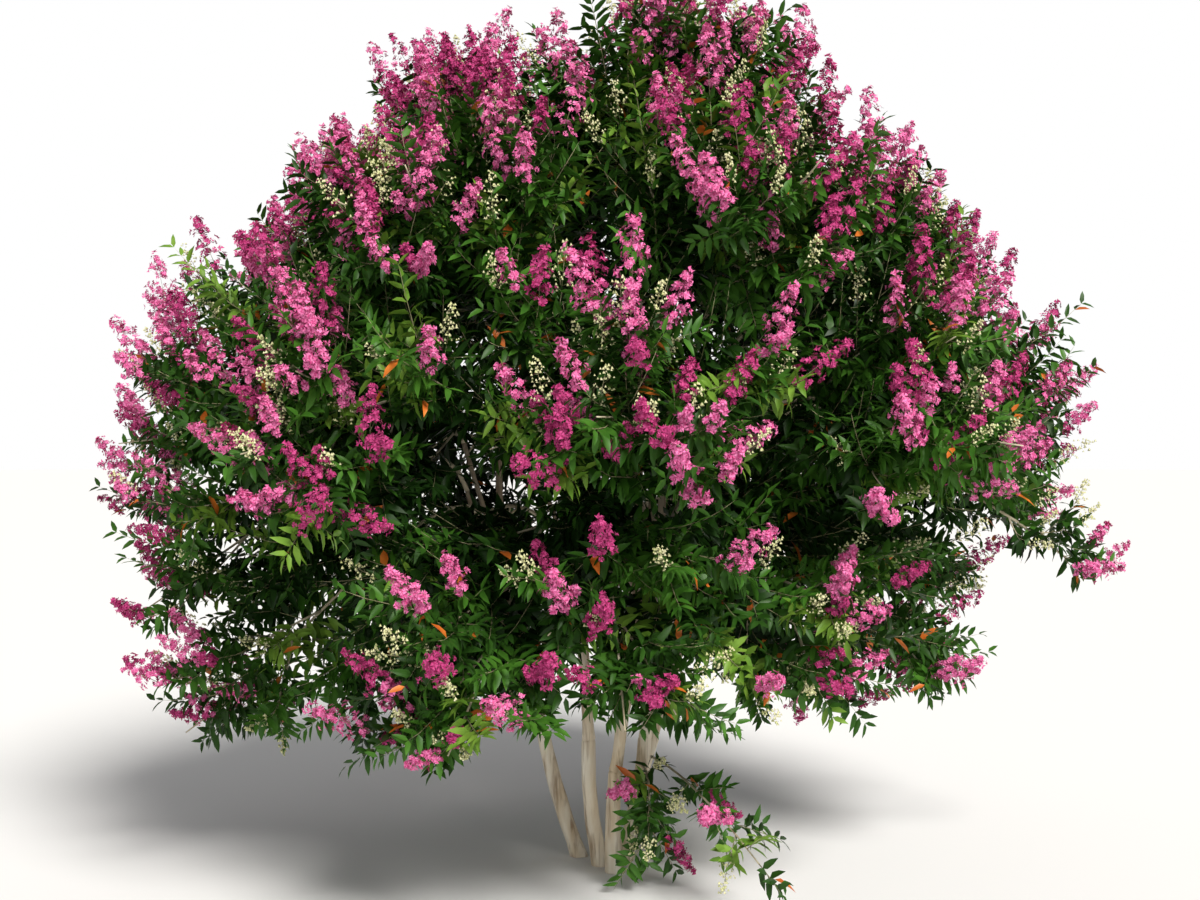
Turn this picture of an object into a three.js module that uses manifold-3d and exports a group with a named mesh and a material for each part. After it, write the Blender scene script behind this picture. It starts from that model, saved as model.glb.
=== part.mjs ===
// A crape myrtle in flower: five smooth, pale stems rise from one clump and fork into boughs, and each bough
// ends in a mass of leafy twigs with a few panicles of blossom. The crown is a round dome with a low skirt.
//
// Everything grows by one rule. A mass has a leader that runs on from its bough. Shoots turn round the leader
// by the golden angle, and sprays turn round each shoot in the same way. A shoot or spray that would leave the
// mass's own space is cut back, and skipped where it still doesn't fit. These solids make every second shoot
// of the rule, and every fourth spray on it. A spray is one thin blade, and a panicle is one faceted spindle
// on the blade's tip.
//
// Millimetres, +Z up. The origin is the middle of the main stem's flat foot, and -Y is the front.

import * as THREE from "three";
import { mergeVertices } from "three/addons/utils/BufferGeometryUtils.js";
import Module from "manifold-3d";

const wasm = await Module();
wasm.setup();

const vec = (x, y, z) => new THREE.Vector3(x, y, z);
const { sin, cos, max, PI } = Math;
const radians = THREE.MathUtils.degToRad;
const lerp = THREE.MathUtils.lerp;

// ---------------------------------------------------------------- driving dimensions

const HEART = vec(0, 110, 1480); // the middle of the crown, from which every mass is measured
const SEED = 15; // picks this plant among the many that the same rule grows
const GOLDEN_TURN = 137.508; // degrees from one shoot to the next round its parent
const TOUCH_GAP = 0.3; // between two pieces that meet
const FUSE_TOLERANCE = 0.5; // faces of fused foliage that lie so near one plane become one face
const SPACE_GAP = 1.5; // from a mass's twigs and leaves to the edge of its space
const LIMB_GAP = 3; // from twigs and leaves to the limbs that they pass

// The five stems: the middle of the foot, the tip, and how far the middle bows towards -X and -Y.
const STEMS = [
  { name: "stem_front", foot: [0, 0], tip: [5, -22, 372], bow: [-8, 4] },
  { name: "stem_mid_left", foot: [-47, 93], tip: [-92, 62, 470], bow: [-16, -6] },
  { name: "stem_left", foot: [-129, 224], tip: [-262, 236, 460], bow: [-12, 0] },
  { name: "stem_mid_right", foot: [36, 161], tip: [112, 178, 455], bow: [10, 0] },
  { name: "stem_right", foot: [58, 331], tip: [150, 352, 430], bow: [-14, 0] },
];
const STEM_RADIUS = { foot: 29, tip: 24 };
const FLARE = { height: 55, width: 5 }; // how much wider each stem stands at the ground, and up to what height

// The tiers of the crown. A mass lies in the direction given by its tier's lift above the level and its own
// turn round the crown, counted from +X, and reaches so far from the heart. Its shoots tend up by the rise.
// Primary boughs name their stem; the others leave the primary bough that points most nearly their way. The
// flank fills the left side below the girdle, and the apron hangs in front of the fork. The spur is one slim
// branch that stands out to the right, and its shoots shorten the more towards its tip.
const TIERS = [
  {
    name: "top", lift: 62, firstTurn: -68, rise: 0.25,
    reach: [1640, 1760, 1570],
    stems: ["stem_front", "stem_mid_right", "stem_mid_left"],
  },
  {
    name: "shoulder", lift: 33, firstTurn: -6, rise: 0.25,
    reach: [1500, 1600, 1620, 1560, 1560, 1600],
    stems: ["stem_mid_right", "stem_right", "stem_right", "stem_left", "stem_mid_left", "stem_front"],
  },
  {
    name: "girdle", lift: 3, firstTurn: 4, branchAt: 0.42, rise: 0.04,
    reach: [1700, 1660, 1640, 1700, 1800, 1660, 1560, 1600],
  },
  {
    name: "skirt", lift: -32, firstTurn: -52, branchAt: 0.14, rise: 0,
    reach: [1360, 1520, 1580, 1640, 1820, 1600],
  },
  {
    name: "flank", lift: -15, firstTurn: 184, branchAt: 0.3, rise: 0,
    reach: [1820],
  },
  {
    name: "apron", lift: -30, firstTurn: -90, branchAt: 0.2, rise: 0,
    reach: [1450],
  },
  {
    name: "spur", lift: -13, firstTurn: -4, branchAt: 0.34, rise: 0.1,
    shootSize: 0.5, shorten: 0.9, spraySize: 0.55,
    reach: [2010],
  },
];
const FORK_AT = 0.97; // how far up a stem its boughs begin
const BOUGH_ENTRY = 0.3; // where a bough ends and its mass begins, as a share of the mass's reach
const SPACE_CENTRE = 0.64; // where the middle of a mass's space lies, as a share of its reach
const SPACE_FLOOR = { crown: 420, leftSkirt: 330, low: 6 }; // the lowest that foliage hangs
const LEADER_LENGTH = 0.8; // where a leader ends, as a share of its mass's reach

// Two low sprays hang in front of the stems, below the crown. Each is one long shoot that leaves a stem so far
// up it, passes near the way point and ends at the tip.
const LOW_SHOOTS = [
  { name: "low_front", stem: "stem_mid_right", from: 0.74, way: [128, -270, 400], tip: [106, -235, 150] },
  { name: "low_right", stem: "stem_right", from: 0.8, way: [245, -150, 390], tip: [430, -750, 225] },
];
const LOW_SPRAY_SIZE = 0.55; // of a spray on a low shoot, to one in the crown

// The first two radii of a bough are shares of its parent's. It first runs on along its parent for so much of
// its length, and is drawn outward by so much.
const BOUGH_RADIUS = { primary: 0.8, secondary: 0.62, tip: 8.5 };
const BOUGH_CURVE = { onward: 0.5, outward: 0.1 };
const LEADER = { tipRadius: 4, onward: 0.45 };

// Shoots on each leader, and sprays on each shoot. Splays are degrees from the parent's own way; `first` is how
// far along its parent the first one stands, and `outward` and `rise` draw it out and up. These solids make the
// first shoot of every two and the last spray of every four. The sizes in CUT_BACK are tried in turn, until a
// shoot or spray fits its space.
const SHOOTS = 13;
const SHOOTS_STEP = 2;
const SHOOT = { length: 620, shorten: 0.45, radius: 5.5, tipRadius: 3.5, first: 0.1, outward: 0.45 };
const SHOOT_SPLAY = { first: 66, closing: 30, last: 8 };
const SPRAYS = 12;
const SPRAYS_STEP = 4;
const SPRAY = { length: 340, width: 210, waist: 0.42, thickness: 8, droop: 0.06, first: 0.16, sunk: 1.8 };
const SPRAY_WAY = { side: 46, last: 6, outward: 0.3, rise: 0.7 };
// A panicle stands on its spray so far along it and turns up from it by so much, but not on the low shoots. Its
// tip may stand so far beyond the reach of the leaves.
const PANICLE = { length: 190, width: 104, foot: 0.55, upward: 0.45, beyond: 100 };
const SPINDLE = { waist: 0.26, sides: 5, firstEdge: 0.4 }; // a panicle's plain shape
const FLOWERING = { share: 0.5, outside: 0.72 }; // of the sprays, and only beyond this share of a mass's reach
const CUT_BACK = [1, 0.8, 0.6];

// How far chance may move a thing either way: degrees for turns and splays, shares for places and lengths.
const CHANCE = {
  branchAt: 0.06,
  shootTurn: 25, shootSplay: 8, shootLength: 0.14,
  spraySplay: 12, sprayLength: 0.16,
};

const bark = new THREE.MeshStandardMaterial({ name: "bark", color: "#beb096", roughness: 0.8, metalness: 0 });
const leafy = new THREE.MeshStandardMaterial({ name: "foliage", color: "#2c4a18", roughness: 0.55, metalness: 0 });

// ---------------------------------------------------------------- chance, directions and curves

// A number from 0 to 1 that depends on its keys alone, so the plant is the same at every run.
function chance(...keys) {
  const weights = [127.1, 311.7, 74.7, 269.5];
  const mixed = sin(keys.reduce((sum, key, i) => sum + key * weights[i], SEED)) * 43758.5453;
  return mixed - Math.floor(mixed);
}
const spread = (...keys) => 2 * chance(...keys) - 1;

// The unit vector at a turn round the crown and a lift above the level, in degrees.
const direction = (turn, lift) =>
  vec(cos(radians(turn)) * cos(radians(lift)), sin(radians(turn)) * cos(radians(lift)), sin(radians(lift)));

// A way that splays off from `along`, turned round it. A turn of 0 is level, and 90 is on the upper side.
function offshoot(along, turn, splay) {
  const reference = Math.abs(along.z) < 0.9 ? vec(0, 0, 1) : vec(1, 0, 0);
  const side = along.clone().cross(reference).normalize();
  const upper = side.clone().cross(along).normalize();
  return along.clone().multiplyScalar(cos(radians(splay)))
    .addScaledVector(side, cos(radians(turn)) * sin(radians(splay)))
    .addScaledVector(upper, sin(radians(turn)) * sin(radians(splay)))
    .normalize();
}

const curve = (start, way, end) => new THREE.QuadraticBezierCurve3(start, way, end);

// ---------------------------------------------------------------- solids

// A closed geometry as a solid that can be joined and cut.
function solidOf(geometry) {
  const bare = new THREE.BufferGeometry().setAttribute("position", geometry.getAttribute("position"));
  if (geometry.index) bare.setIndex(geometry.index);
  const merged = mergeVertices(bare, 1e-3);
  return new wasm.Manifold(
    new wasm.Mesh({
      numProp: 3,
      vertProperties: merged.getAttribute("position").array,
      triVerts: new Uint32Array(merged.index.array),
    }),
  );
}

// A mesh of the one body that matters: scraps that fusing leaves loose are dropped.
function meshOf(name, solid, material) {
  const largest = solid.decompose().reduce((a, b) => (b.volume() > a.volume() ? b : a));
  const { vertProperties, triVerts } = largest.getMesh();
  const geometry = new THREE.BufferGeometry()
    .setAttribute("position", new THREE.BufferAttribute(vertProperties, 3))
    .setIndex(new THREE.BufferAttribute(triVerts, 1));
  const mesh = new THREE.Mesh(geometry, material);
  mesh.name = name;
  return mesh;
}

// Even steps from 0 to 1.
const evenly = (steps) => Array.from({ length: steps + 1 }, (_, i) => i / steps);

// A round limb along a curve, with a ring at each of the stations. A limb's curve bends in one plane, so the
// normal of that plane serves every ring. The rings are level where a limb stands on the ground.
function limbSolid(path, radiusAt, { sides, stations, isLevel = false }, grow = 0) {
  const bend = path.getTangent(0).cross(path.getTangent(1));
  const normal = bend.length() > 1e-3 ? bend.normalize() : offshoot(path.getTangent(0), 0, 90);
  const last = stations.length - 1;
  const positions = stations.flatMap((t, ring) => {
    const tangent = path.getTangent(t);
    const [across, over] = isLevel ? [vec(1, 0, 0), vec(0, 1, 0)] : [normal, tangent.clone().cross(normal)];
    const centre = path.getPoint(t).addScaledVector(tangent, ring === 0 ? -grow : ring === last ? grow : 0);
    const radius = radiusAt(t) + grow;
    return Array.from({ length: sides }, (_, side) => (2 * PI * side) / sides).flatMap((angle) => [
      ...centre.clone().addScaledVector(across, radius * cos(angle)).addScaledVector(over, radius * sin(angle)),
    ]);
  });
  const index = [];
  for (let ring = 0; ring < last; ring++) {
    for (let side = 0; side < sides; side++) {
      const [a, b] = [ring * sides + side, ring * sides + ((side + 1) % sides)];
      index.push(a, b, b + sides, a, b + sides, a + sides);
    }
  }
  for (let side = 1; side < sides - 1; side++) {
    index.push(0, side + 1, side);
    index.push(last * sides, last * sides + side, last * sides + side + 1);
  }
  const geometry = new THREE.BufferGeometry();
  geometry.setAttribute("position", new THREE.Float32BufferAttribute(positions, 3));
  geometry.setIndex(index);
  return solidOf(geometry);
}

// The corners of a leafy spray: its drooping tip, the two ends of its waist, and the ridge between them.
function sprayCorners({ root, heading, length, width }) {
  const side = offshoot(heading, 0, 90);
  const upper = offshoot(heading, 90, 90);
  const at = (along, across, above) =>
    root.clone().addScaledVector(heading, along).addScaledVector(side, across).addScaledVector(upper, above);
  return {
    tip: at(length, 0, -SPRAY.droop * length),
    left: at(SPRAY.waist * length, -width / 2, 0),
    right: at(SPRAY.waist * length, width / 2, 0),
    ridge: at(SPRAY.waist * length, 0, SPRAY.thickness),
  };
}

// A leafy spray as one thin blade with six faces: flat below, with a ridge above, and its root sunk in the twig.
function bladeSolid(spray) {
  const { tip, left, right, ridge } = sprayCorners(spray);
  const sunk = spray.root.clone().addScaledVector(spray.heading, -SPRAY.sunk);
  const points = [sunk, tip, left, right, ridge];
  const geometry = new THREE.BufferGeometry();
  geometry.setAttribute("position", new THREE.Float32BufferAttribute(points.flatMap((p) => [...p]), 3));
  geometry.setIndex([0, 2, 3, 1, 3, 2, 0, 3, 4, 1, 4, 3, 0, 4, 2, 1, 2, 4]);
  return solidOf(geometry);
}

// Where the panicle of a spray stands, and which way it points.
const panicleOf = ({ root, heading, length, upward }) => ({
  foot: root.clone().addScaledVector(heading, PANICLE.foot * length),
  way: heading.clone().add(vec(0, 0, upward)).normalize(),
});

// A panicle: a spindle, widest near its foot.
function panicleSolid(spray) {
  const { foot, way } = panicleOf(spray);
  const profile = [[0, 0], [PANICLE.width / 2, SPINDLE.waist * PANICLE.length], [0, PANICLE.length]];
  const outline = profile.map(([r, h]) => new THREE.Vector2(r, h));
  const geometry = new THREE.LatheGeometry(outline, SPINDLE.sides, SPINDLE.firstEdge);
  geometry.applyQuaternion(new THREE.Quaternion().setFromUnitVectors(vec(0, 1, 0), way));
  geometry.translate(foot.x, foot.y, foot.z);
  return solidOf(geometry);
}

// ---------------------------------------------------------------- stems and boughs

// Where shoot j stands along its leader and spray k along its shoot, and which of them these solids make.
const alongLeader = (j) => lerp(SHOOT.first, 1, j / (SHOOTS - 1));
const alongShoot = (k) => lerp(SPRAY.first, 1, k / (SPRAYS - 1));
const madeShoots = Array.from({ length: (SHOOTS + 1) / SHOOTS_STEP }, (_, i) => i * SHOOTS_STEP);
const madeSprays = Array.from({ length: SPRAYS / SPRAYS_STEP }, (_, i) => (i + 1) * SPRAYS_STEP - 1);

const limbs = new Map(); // by name: { path, radiusAt, detail }
const detailOf = {
  stem: { sides: 10, stations: evenly(6), isLevel: true },
  bough: { sides: 5, stations: evenly(4) },
  leader: { sides: 3, stations: [0, ...madeShoots.map(alongLeader)] },
  shoot: { sides: 3, stations: [0, ...madeSprays.map(alongShoot)] },
  lowShoot: { sides: 3, stations: [0, ...madeSprays.flatMap((k) => [alongShoot(k - 2), alongShoot(k)])] },
};

STEMS.forEach((stem) => {
  const foot = vec(...stem.foot, 0);
  const tip = vec(...stem.tip);
  const way = foot.clone().lerp(tip, 0.5).add(vec(2 * stem.bow[0], 2 * stem.bow[1], 0));
  const radiusAt = (t) =>
    lerp(STEM_RADIUS.foot, STEM_RADIUS.tip, t) + FLARE.width * max(0, 1 - (t * tip.z) / FLARE.height);
  limbs.set(stem.name, { path: curve(foot, way, tip), radiusAt, detail: detailOf.stem });
});

// The masses of the crown, with their directions worked out from the tiers.
const crownMasses = TIERS.flatMap((tier) =>
  tier.reach.map((reach, i) => {
    const along = direction(tier.firstTurn + (360 * i) / tier.reach.length, tier.lift);
    return {
      name: `${tier.name}_${i + 1}`,
      tier,
      stem: tier.stems && tier.stems[i],
      along,
      reach,
      bloomsFrom: FLOWERING.outside * reach,
      entry: HEART.clone().addScaledVector(along, BOUGH_ENTRY * reach),
      centre: HEART.clone().addScaledVector(along, SPACE_CENTRE * reach),
      floor: tier.name === "skirt" && along.x < -0.5 ? SPACE_FLOOR.leftSkirt : SPACE_FLOOR.crown,
      ceiling: Infinity,
      isLow: false,
      rise: tier.rise,
      shootSize: tier.shootSize ?? 1,
      shorten: tier.shorten ?? SHOOT.shorten,
      spraySize: tier.spraySize ?? 1,
    };
  }),
);

// The limb that a bough leaves, and where along it.
function parentOf(mass, number) {
  if (mass.stem) return { parent: limbs.get(mass.stem), at: FORK_AT };
  const primaries = crownMasses.filter((other) => other.stem);
  const nearest = primaries.reduce((a, b) => (b.along.dot(mass.along) > a.along.dot(mass.along) ? b : a));
  return { parent: nearest.bough, at: mass.tier.branchAt + CHANCE.branchAt * spread(number, 1) };
}

crownMasses.forEach((mass, i) => {
  const { parent, at } = parentOf(mass, i + 1);
  const start = parent.path.getPoint(at);
  const away = mass.entry.clone().sub(start);
  const way = start.clone()
    .addScaledVector(parent.path.getTangent(at), BOUGH_CURVE.onward * away.length())
    .addScaledVector(mass.along, BOUGH_CURVE.outward * away.length());
  const firstRadius = parent.radiusAt(at) * (mass.stem ? BOUGH_RADIUS.primary : BOUGH_RADIUS.secondary);
  mass.bough = {
    path: curve(start, way, mass.entry),
    radiusAt: (t) => lerp(firstRadius, BOUGH_RADIUS.tip, t),
    detail: detailOf.bough,
  };
  limbs.set(`bough_${mass.name}`, mass.bough);
});

// Each limb is cut clear of the limbs before it, so a bough's foot fits its parent's side.
const limbSolids = new Map();
const limbsWithGap = new Map();
for (const [name, { path, radiusAt, detail }] of limbs) {
  const whole = limbSolid(path, radiusAt, detail);
  limbSolids.set(name, [...limbsWithGap.values()].reduce((solid, other) => solid.subtract(other), whole));
  limbsWithGap.set(name, limbSolid(path, radiusAt, detail, TOUCH_GAP));
}
const limbsToClear = wasm.Manifold.union(
  [...limbs.values()].map(({ path, radiusAt, detail }) => limbSolid(path, radiusAt, detail, LIMB_GAP)),
);

// ---------------------------------------------------------------- foliage

// Whether a point lies in a mass's space: nearer to its own centre than to any other, between its floor and its
// ceiling, and within its reach or not far beyond.
function insideSpace(mass, point, beyond = 0) {
  if (point.z < mass.floor || point.z > mass.ceiling) return false;
  if (point.distanceTo(HEART) > mass.reach + beyond) return false;
  return mass.neighbours.every((other) => {
    const across = other.centre.clone().sub(mass.centre);
    const middle = mass.centre.clone().add(other.centre).multiplyScalar(0.5);
    return point.clone().sub(middle).dot(across.normalize()) < -SPACE_GAP;
  });
}

// A mass's leader: it runs on from the bough's tip and out to its own tip.
function leaderOf({ bough, along, reach }) {
  const start = bough.path.getPoint(1).addScaledVector(bough.path.getTangent(1), TOUCH_GAP);
  const end = HEART.clone().addScaledVector(along, LEADER_LENGTH * reach);
  const way = start.clone().addScaledVector(bough.path.getTangent(1), LEADER.onward * start.distanceTo(end));
  return curve(start, way, end);
}
crownMasses.forEach((mass) => (mass.leader = leaderOf(mass)));

// The leader of a low mass starts inside its stem, and is cut off at the stem's side.
const lowMasses = LOW_SHOOTS.map(({ name, stem, from, way, tip }) => {
  const start = limbs.get(stem).path.getPoint(from);
  const leader = curve(start, vec(...way), vec(...tip));
  return {
    name,
    stem,
    isLow: true,
    rise: 0,
    spraySize: LOW_SPRAY_SIZE,
    leader,
    along: vec(...tip).sub(start).normalize(),
    centre: leader.getPoint(SPACE_CENTRE),
    reach: Infinity,
    bloomsFrom: 0,
    floor: SPACE_FLOOR.low,
    ceiling: SPACE_FLOOR.crown - 2 * SPACE_GAP,
  };
});

const masses = [...crownMasses, ...lowMasses];
masses.forEach((mass, i) => {
  mass.number = i + 1; // its key for chance
  mass.neighbours = masses.filter((other) => other !== mass && other.isLow === mass.isLow);
});

const leaderRadius = (t) => lerp(BOUGH_RADIUS.tip, LEADER.tipRadius, t);
const shootRadius = (t) => lerp(SHOOT.radius, SHOOT.tipRadius, t);

// Shoot j of a leader. It leaves at a splay that closes towards the leader's tip, where the last one runs on,
// and it bends outward and up.
function shootOf(mass, leader, j, size) {
  const t = alongLeader(j);
  const start = leader.getPoint(t);
  const turn = GOLDEN_TURN * j + 360 * chance(mass.number, 7) + CHANCE.shootTurn * spread(mass.number, j, 1);
  const splay = j === SHOOTS - 1 ? SHOOT_SPLAY.last : SHOOT_SPLAY.first - SHOOT_SPLAY.closing * t;
  const heading = offshoot(leader.getTangent(t), turn, splay + CHANCE.shootSplay * spread(mass.number, j, 2));
  const fullLength = mass.shootSize * SHOOT.length * (1 - mass.shorten * t);
  const length = size * fullLength * (1 + CHANCE.shootLength * spread(mass.number, j, 3));
  const way = start.clone().addScaledVector(heading, 0.5 * length);
  const onward = heading.clone().addScaledVector(mass.along, SHOOT.outward).add(vec(0, 0, mass.rise)).normalize();
  return curve(start, way, way.clone().addScaledVector(onward, 0.5 * length));
}

// Spray k of a shoot: where it is rooted, its heading and its size. The last one runs on from the tip.
function sprayOf(mass, shoot, j, k, size) {
  const t = alongShoot(k);
  const turn = GOLDEN_TURN * k + 360 * chance(mass.number, j, 5);
  const sideSplay = SPRAY_WAY.side + CHANCE.spraySplay * spread(mass.number, j, k, 1);
  const heading = offshoot(shoot.getTangent(t), turn, k === SPRAYS - 1 ? SPRAY_WAY.last : sideSplay)
    .addScaledVector(mass.along, SPRAY_WAY.outward)
    .add(vec(0, 0, SPRAY_WAY.rise * mass.rise))
    .normalize();
  const grown = size * mass.spraySize * (1 + CHANCE.sprayLength * spread(mass.number, j, k));
  const upward = mass.isLow ? 0 : PANICLE.upward;
  return { root: shoot.getPoint(t), heading, length: SPRAY.length * grown, width: SPRAY.width * grown, upward };
}

// What is grown at the first of the sizes that fits.
const cutBack = (grow, fits) => CUT_BACK.map(grow).find(fits);

// Shoot j of a leader, cut back to its space.
function grownShoot(mass, j) {
  const fits = (path) => [0.25, 0.5, 0.75, 1].every((t) => insideSpace(mass, path.getPoint(t)));
  return cutBack((size) => shootOf(mass, mass.leader, j, size), fits);
}

// Spray k of a shoot, cut back to its space, and whether it flowers: by chance, and only on the outside.
function grownSpray(mass, shoot, j, k) {
  const flowers = shoot.getPoint(alongShoot(k)).distanceTo(HEART) > mass.bloomsFrom
    && chance(mass.number, j, k, 2) < FLOWERING.share;
  const panicleTip = (spray) => {
    const { foot, way } = panicleOf(spray);
    return foot.addScaledVector(way, PANICLE.length);
  };
  const fits = (spray) => {
    const { tip, left, right } = sprayCorners(spray);
    return [tip, left, right].every((point) => insideSpace(mass, point))
      && (!flowers || insideSpace(mass, panicleTip(spray), PANICLE.beyond));
  };
  const spray = cutBack((size) => sprayOf(mass, shoot, j, k, size), fits);
  return spray && { ...spray, flowers };
}

// A mass's shoots, each with its key, its path and its solid. A low mass's leader is its one shoot.
function shootsOf(mass, isClear) {
  if (mass.isLow) {
    return [{ j: 0, path: mass.leader, solid: limbSolid(mass.leader, leaderRadius, detailOf.lowShoot) }];
  }
  return madeShoots
    .map((j) => ({ j, path: grownShoot(mass, j) }))
    .filter(({ path }) => path)
    .map((shoot) => ({ ...shoot, solid: limbSolid(shoot.path, shootRadius, detailOf.shoot) }))
    .filter(({ solid }) => isClear(solid));
}

const lowLeadersToClear = new Map(
  lowMasses.map(({ name, leader }) => [name, limbSolid(leader, leaderRadius, detailOf.lowShoot, LIMB_GAP)]),
);

function massSolid(mass) {
  const otherLeaders = mass.isLow ? mass.neighbours.map((other) => lowLeadersToClear.get(other.name)) : [];
  const isClear = (solid) => [limbsToClear, ...otherLeaders].every((other) => solid.intersect(other).isEmpty());
  const made = mass.isLow ? [] : [limbSolid(mass.leader, leaderRadius, detailOf.leader)];
  for (const { j, path, solid } of shootsOf(mass, isClear)) {
    made.push(solid);
    for (const spray of madeSprays.map((k) => grownSpray(mass, path, j, k)).filter(Boolean)) {
      const pieces = spray.flowers ? [bladeSolid(spray), panicleSolid(spray)] : [bladeSolid(spray)];
      if (pieces.every(isClear)) made.push(...pieces);
    }
  }
  const whole = wasm.Manifold.union(made).asOriginal().simplify(FUSE_TOLERANCE);
  return mass.isLow ? whole.subtract(limbsWithGap.get(mass.stem)) : whole;
}

// ---------------------------------------------------------------- the plant

const plant = new THREE.Group();
for (const [name, solid] of limbSolids) plant.add(meshOf(name, solid, bark));
for (const mass of masses) plant.add(meshOf(`foliage_${mass.name}`, massSolid(mass), leafy));

export default plant;
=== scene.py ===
# %% [markdown]
# # A crape myrtle in flower
# The real plant is a clump of five smooth, pale stems that fork into boughs, and each bough ends in a mass
# of leafy twigs with panicles of blossom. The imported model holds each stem, bough and mass as a solid. This
# lesson keeps their places and grows the fine plant over them, by the same rule, from the same numbers.

import bpy
import numpy as np
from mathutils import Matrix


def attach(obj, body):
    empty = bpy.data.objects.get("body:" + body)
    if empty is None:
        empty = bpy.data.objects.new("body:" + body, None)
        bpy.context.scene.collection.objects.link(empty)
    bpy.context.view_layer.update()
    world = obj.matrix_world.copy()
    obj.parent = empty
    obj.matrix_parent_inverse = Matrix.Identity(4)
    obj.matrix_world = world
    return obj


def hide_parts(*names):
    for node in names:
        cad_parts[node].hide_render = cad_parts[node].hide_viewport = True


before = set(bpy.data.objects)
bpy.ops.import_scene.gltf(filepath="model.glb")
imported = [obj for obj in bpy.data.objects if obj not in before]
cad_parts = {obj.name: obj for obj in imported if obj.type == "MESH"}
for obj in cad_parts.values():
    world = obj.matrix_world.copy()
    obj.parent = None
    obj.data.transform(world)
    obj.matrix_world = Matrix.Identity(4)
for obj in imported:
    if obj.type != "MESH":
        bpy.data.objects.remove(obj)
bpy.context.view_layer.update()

# %% [markdown]
# ## Camera and light
# A level camera at chest height stands five and a half metres in front. The sky is white to the camera, but
# it lights the plant at less than a third of that, so the inside of the crown stays dark. A soft sun up on
# the right and in front gives the outer leaves and the blossom their bright sides, and a weak lamp low in
# front, so wide that it hardly casts a shadow, keeps the stems light under the crown.

# %% Camera
camera = bpy.data.objects.new("camera", bpy.data.cameras.new("camera"))
camera.data.sensor_width = 36.0
camera.data.lens = 47.0
camera.location = (-0.0526, -5.5, 1.481)
camera.rotation_euler = (np.pi / 2, 0, 0)
bpy.context.scene.collection.objects.link(camera)
bpy.context.scene.camera = camera
bpy.context.scene.view_settings.view_transform = "Standard"
print("camera at", tuple(camera.location))

# %% Sky and lamps
sky = bpy.data.worlds.new("sky")
sky.use_nodes = True
sky_nodes, sky_links = sky.node_tree.nodes, sky.node_tree.links
sky_light = sky_nodes["Background"]
sky_light.inputs["Strength"].default_value = 0.28
sky_seen = sky_nodes.new("ShaderNodeBackground")
for background in (sky_light, sky_seen):
    background.inputs["Color"].default_value = (1.0, 1.0, 1.0, 1)
ray = sky_nodes.new("ShaderNodeLightPath")
choice = sky_nodes.new("ShaderNodeMixShader")
sky_links.new(ray.outputs["Is Camera Ray"], choice.inputs["Fac"])
sky_links.new(sky_light.outputs["Background"], choice.inputs[1])
sky_links.new(sky_seen.outputs["Background"], choice.inputs[2])
sky_links.new(choice.outputs["Shader"], sky_nodes["World Output"].inputs["Surface"])
bpy.context.scene.world = sky


def add_sun(name, way_to_it, energy, width, colour):
    """A far lamp in the direction `way_to_it`. Its width in degrees sets how soft the shadows are."""
    lamp = bpy.data.objects.new(name, bpy.data.lights.new(name, "SUN"))
    lamp.data.energy = energy
    lamp.data.angle = np.radians(width)
    lamp.data.color = colour
    x, y, z = way_to_it
    lamp.rotation_euler = (np.arctan2(np.hypot(x, y), z), 0, np.arctan2(x, -y))
    bpy.context.scene.collection.objects.link(lamp)


add_sun("sun", (0.36, -0.72, 0.7), energy=4.3, width=22, colour=(1.0, 0.97, 0.92))
add_sun("fill", (-0.3, -1.0, 0.08), energy=0.55, width=40, colour=(1.0, 1.0, 1.0))
print("lamps", len(bpy.data.lights))

# %% [markdown]
# ## Meshes from arrays
# Everything here is repeated hundreds or thousands of times. A particle system or geometry nodes could
# place the copies, but then all of them would have one shape. Here a shape is worked out for all its copies
# at once, as whole arrays, and a single mesh takes all of them. The numbers are millimetres until the mesh
# is made.

# %% Arrays into meshes
METRES = 0.001


def piece_of(name, points, triangles, material, slot):
    """One object from points (n, 3) in millimetres and triangles (m, 3), on the plant's one body."""
    mesh = bpy.data.meshes.new(name)
    mesh.vertices.add(len(points))
    mesh.vertices.foreach_set("co", (points * METRES).astype(np.float32).ravel())
    mesh.loops.add(triangles.size)
    mesh.loops.foreach_set("vertex_index", triangles.astype(np.int32).ravel())
    mesh.polygons.add(len(triangles))
    mesh.polygons.foreach_set("loop_start", np.arange(0, triangles.size, 3, dtype=np.int32))
    mesh.polygons.foreach_set("use_smooth", np.ones(len(triangles), bool))
    mesh.update(calc_edges=True)
    mesh.materials.append(material)
    piece = bpy.data.objects.new(name, mesh)
    bpy.context.scene.collection.objects.link(piece)
    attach(piece, "root")
    print(name, "triangles", len(triangles))
    return piece


def copies(points, triangles):
    """Joins many copies of one small shape. points is (copies, corners, 3), and every copy has the same
    triangles, whose numbers move on by the number of corners from one copy to the next."""
    count, corners, _ = points.shape
    steps = np.arange(count)[:, None, None] * corners
    return points.reshape(-1, 3), (triangles[None] + steps).reshape(-1, 3)


def join(*shapes):
    """Joins (points, triangles) shapes into one."""
    starts = np.cumsum([0] + [len(points) for points, _ in shapes[:-1]])
    return (
        np.concatenate([points for points, _ in shapes]),
        np.concatenate([triangles + start for (_, triangles), start in zip(shapes, starts)]),
    )


def pick(table, rows):
    """Some rows of a table, which is a dictionary of arrays of one length."""
    return {name: values[rows] for name, values in table.items()}


# %% [markdown]
# ## Directions and curves
# Limbs, shoots and twigs are all quadratic curves: a start, a way point that draws the curve, and an end.
# Blender's curve objects with a round bevel could be used, but as arrays thousands of them can be tested
# and skinned at once. Such a curve bends in one plane, so one normal serves the whole of it, and a round
# limb never twists. Chance is a number worked out from keys, such as the number of a mass and of a shoot on
# it, so each run is the same.

# %% Chance, directions and curves
UP = np.array([0.0, 0.0, 1.0])


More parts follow.
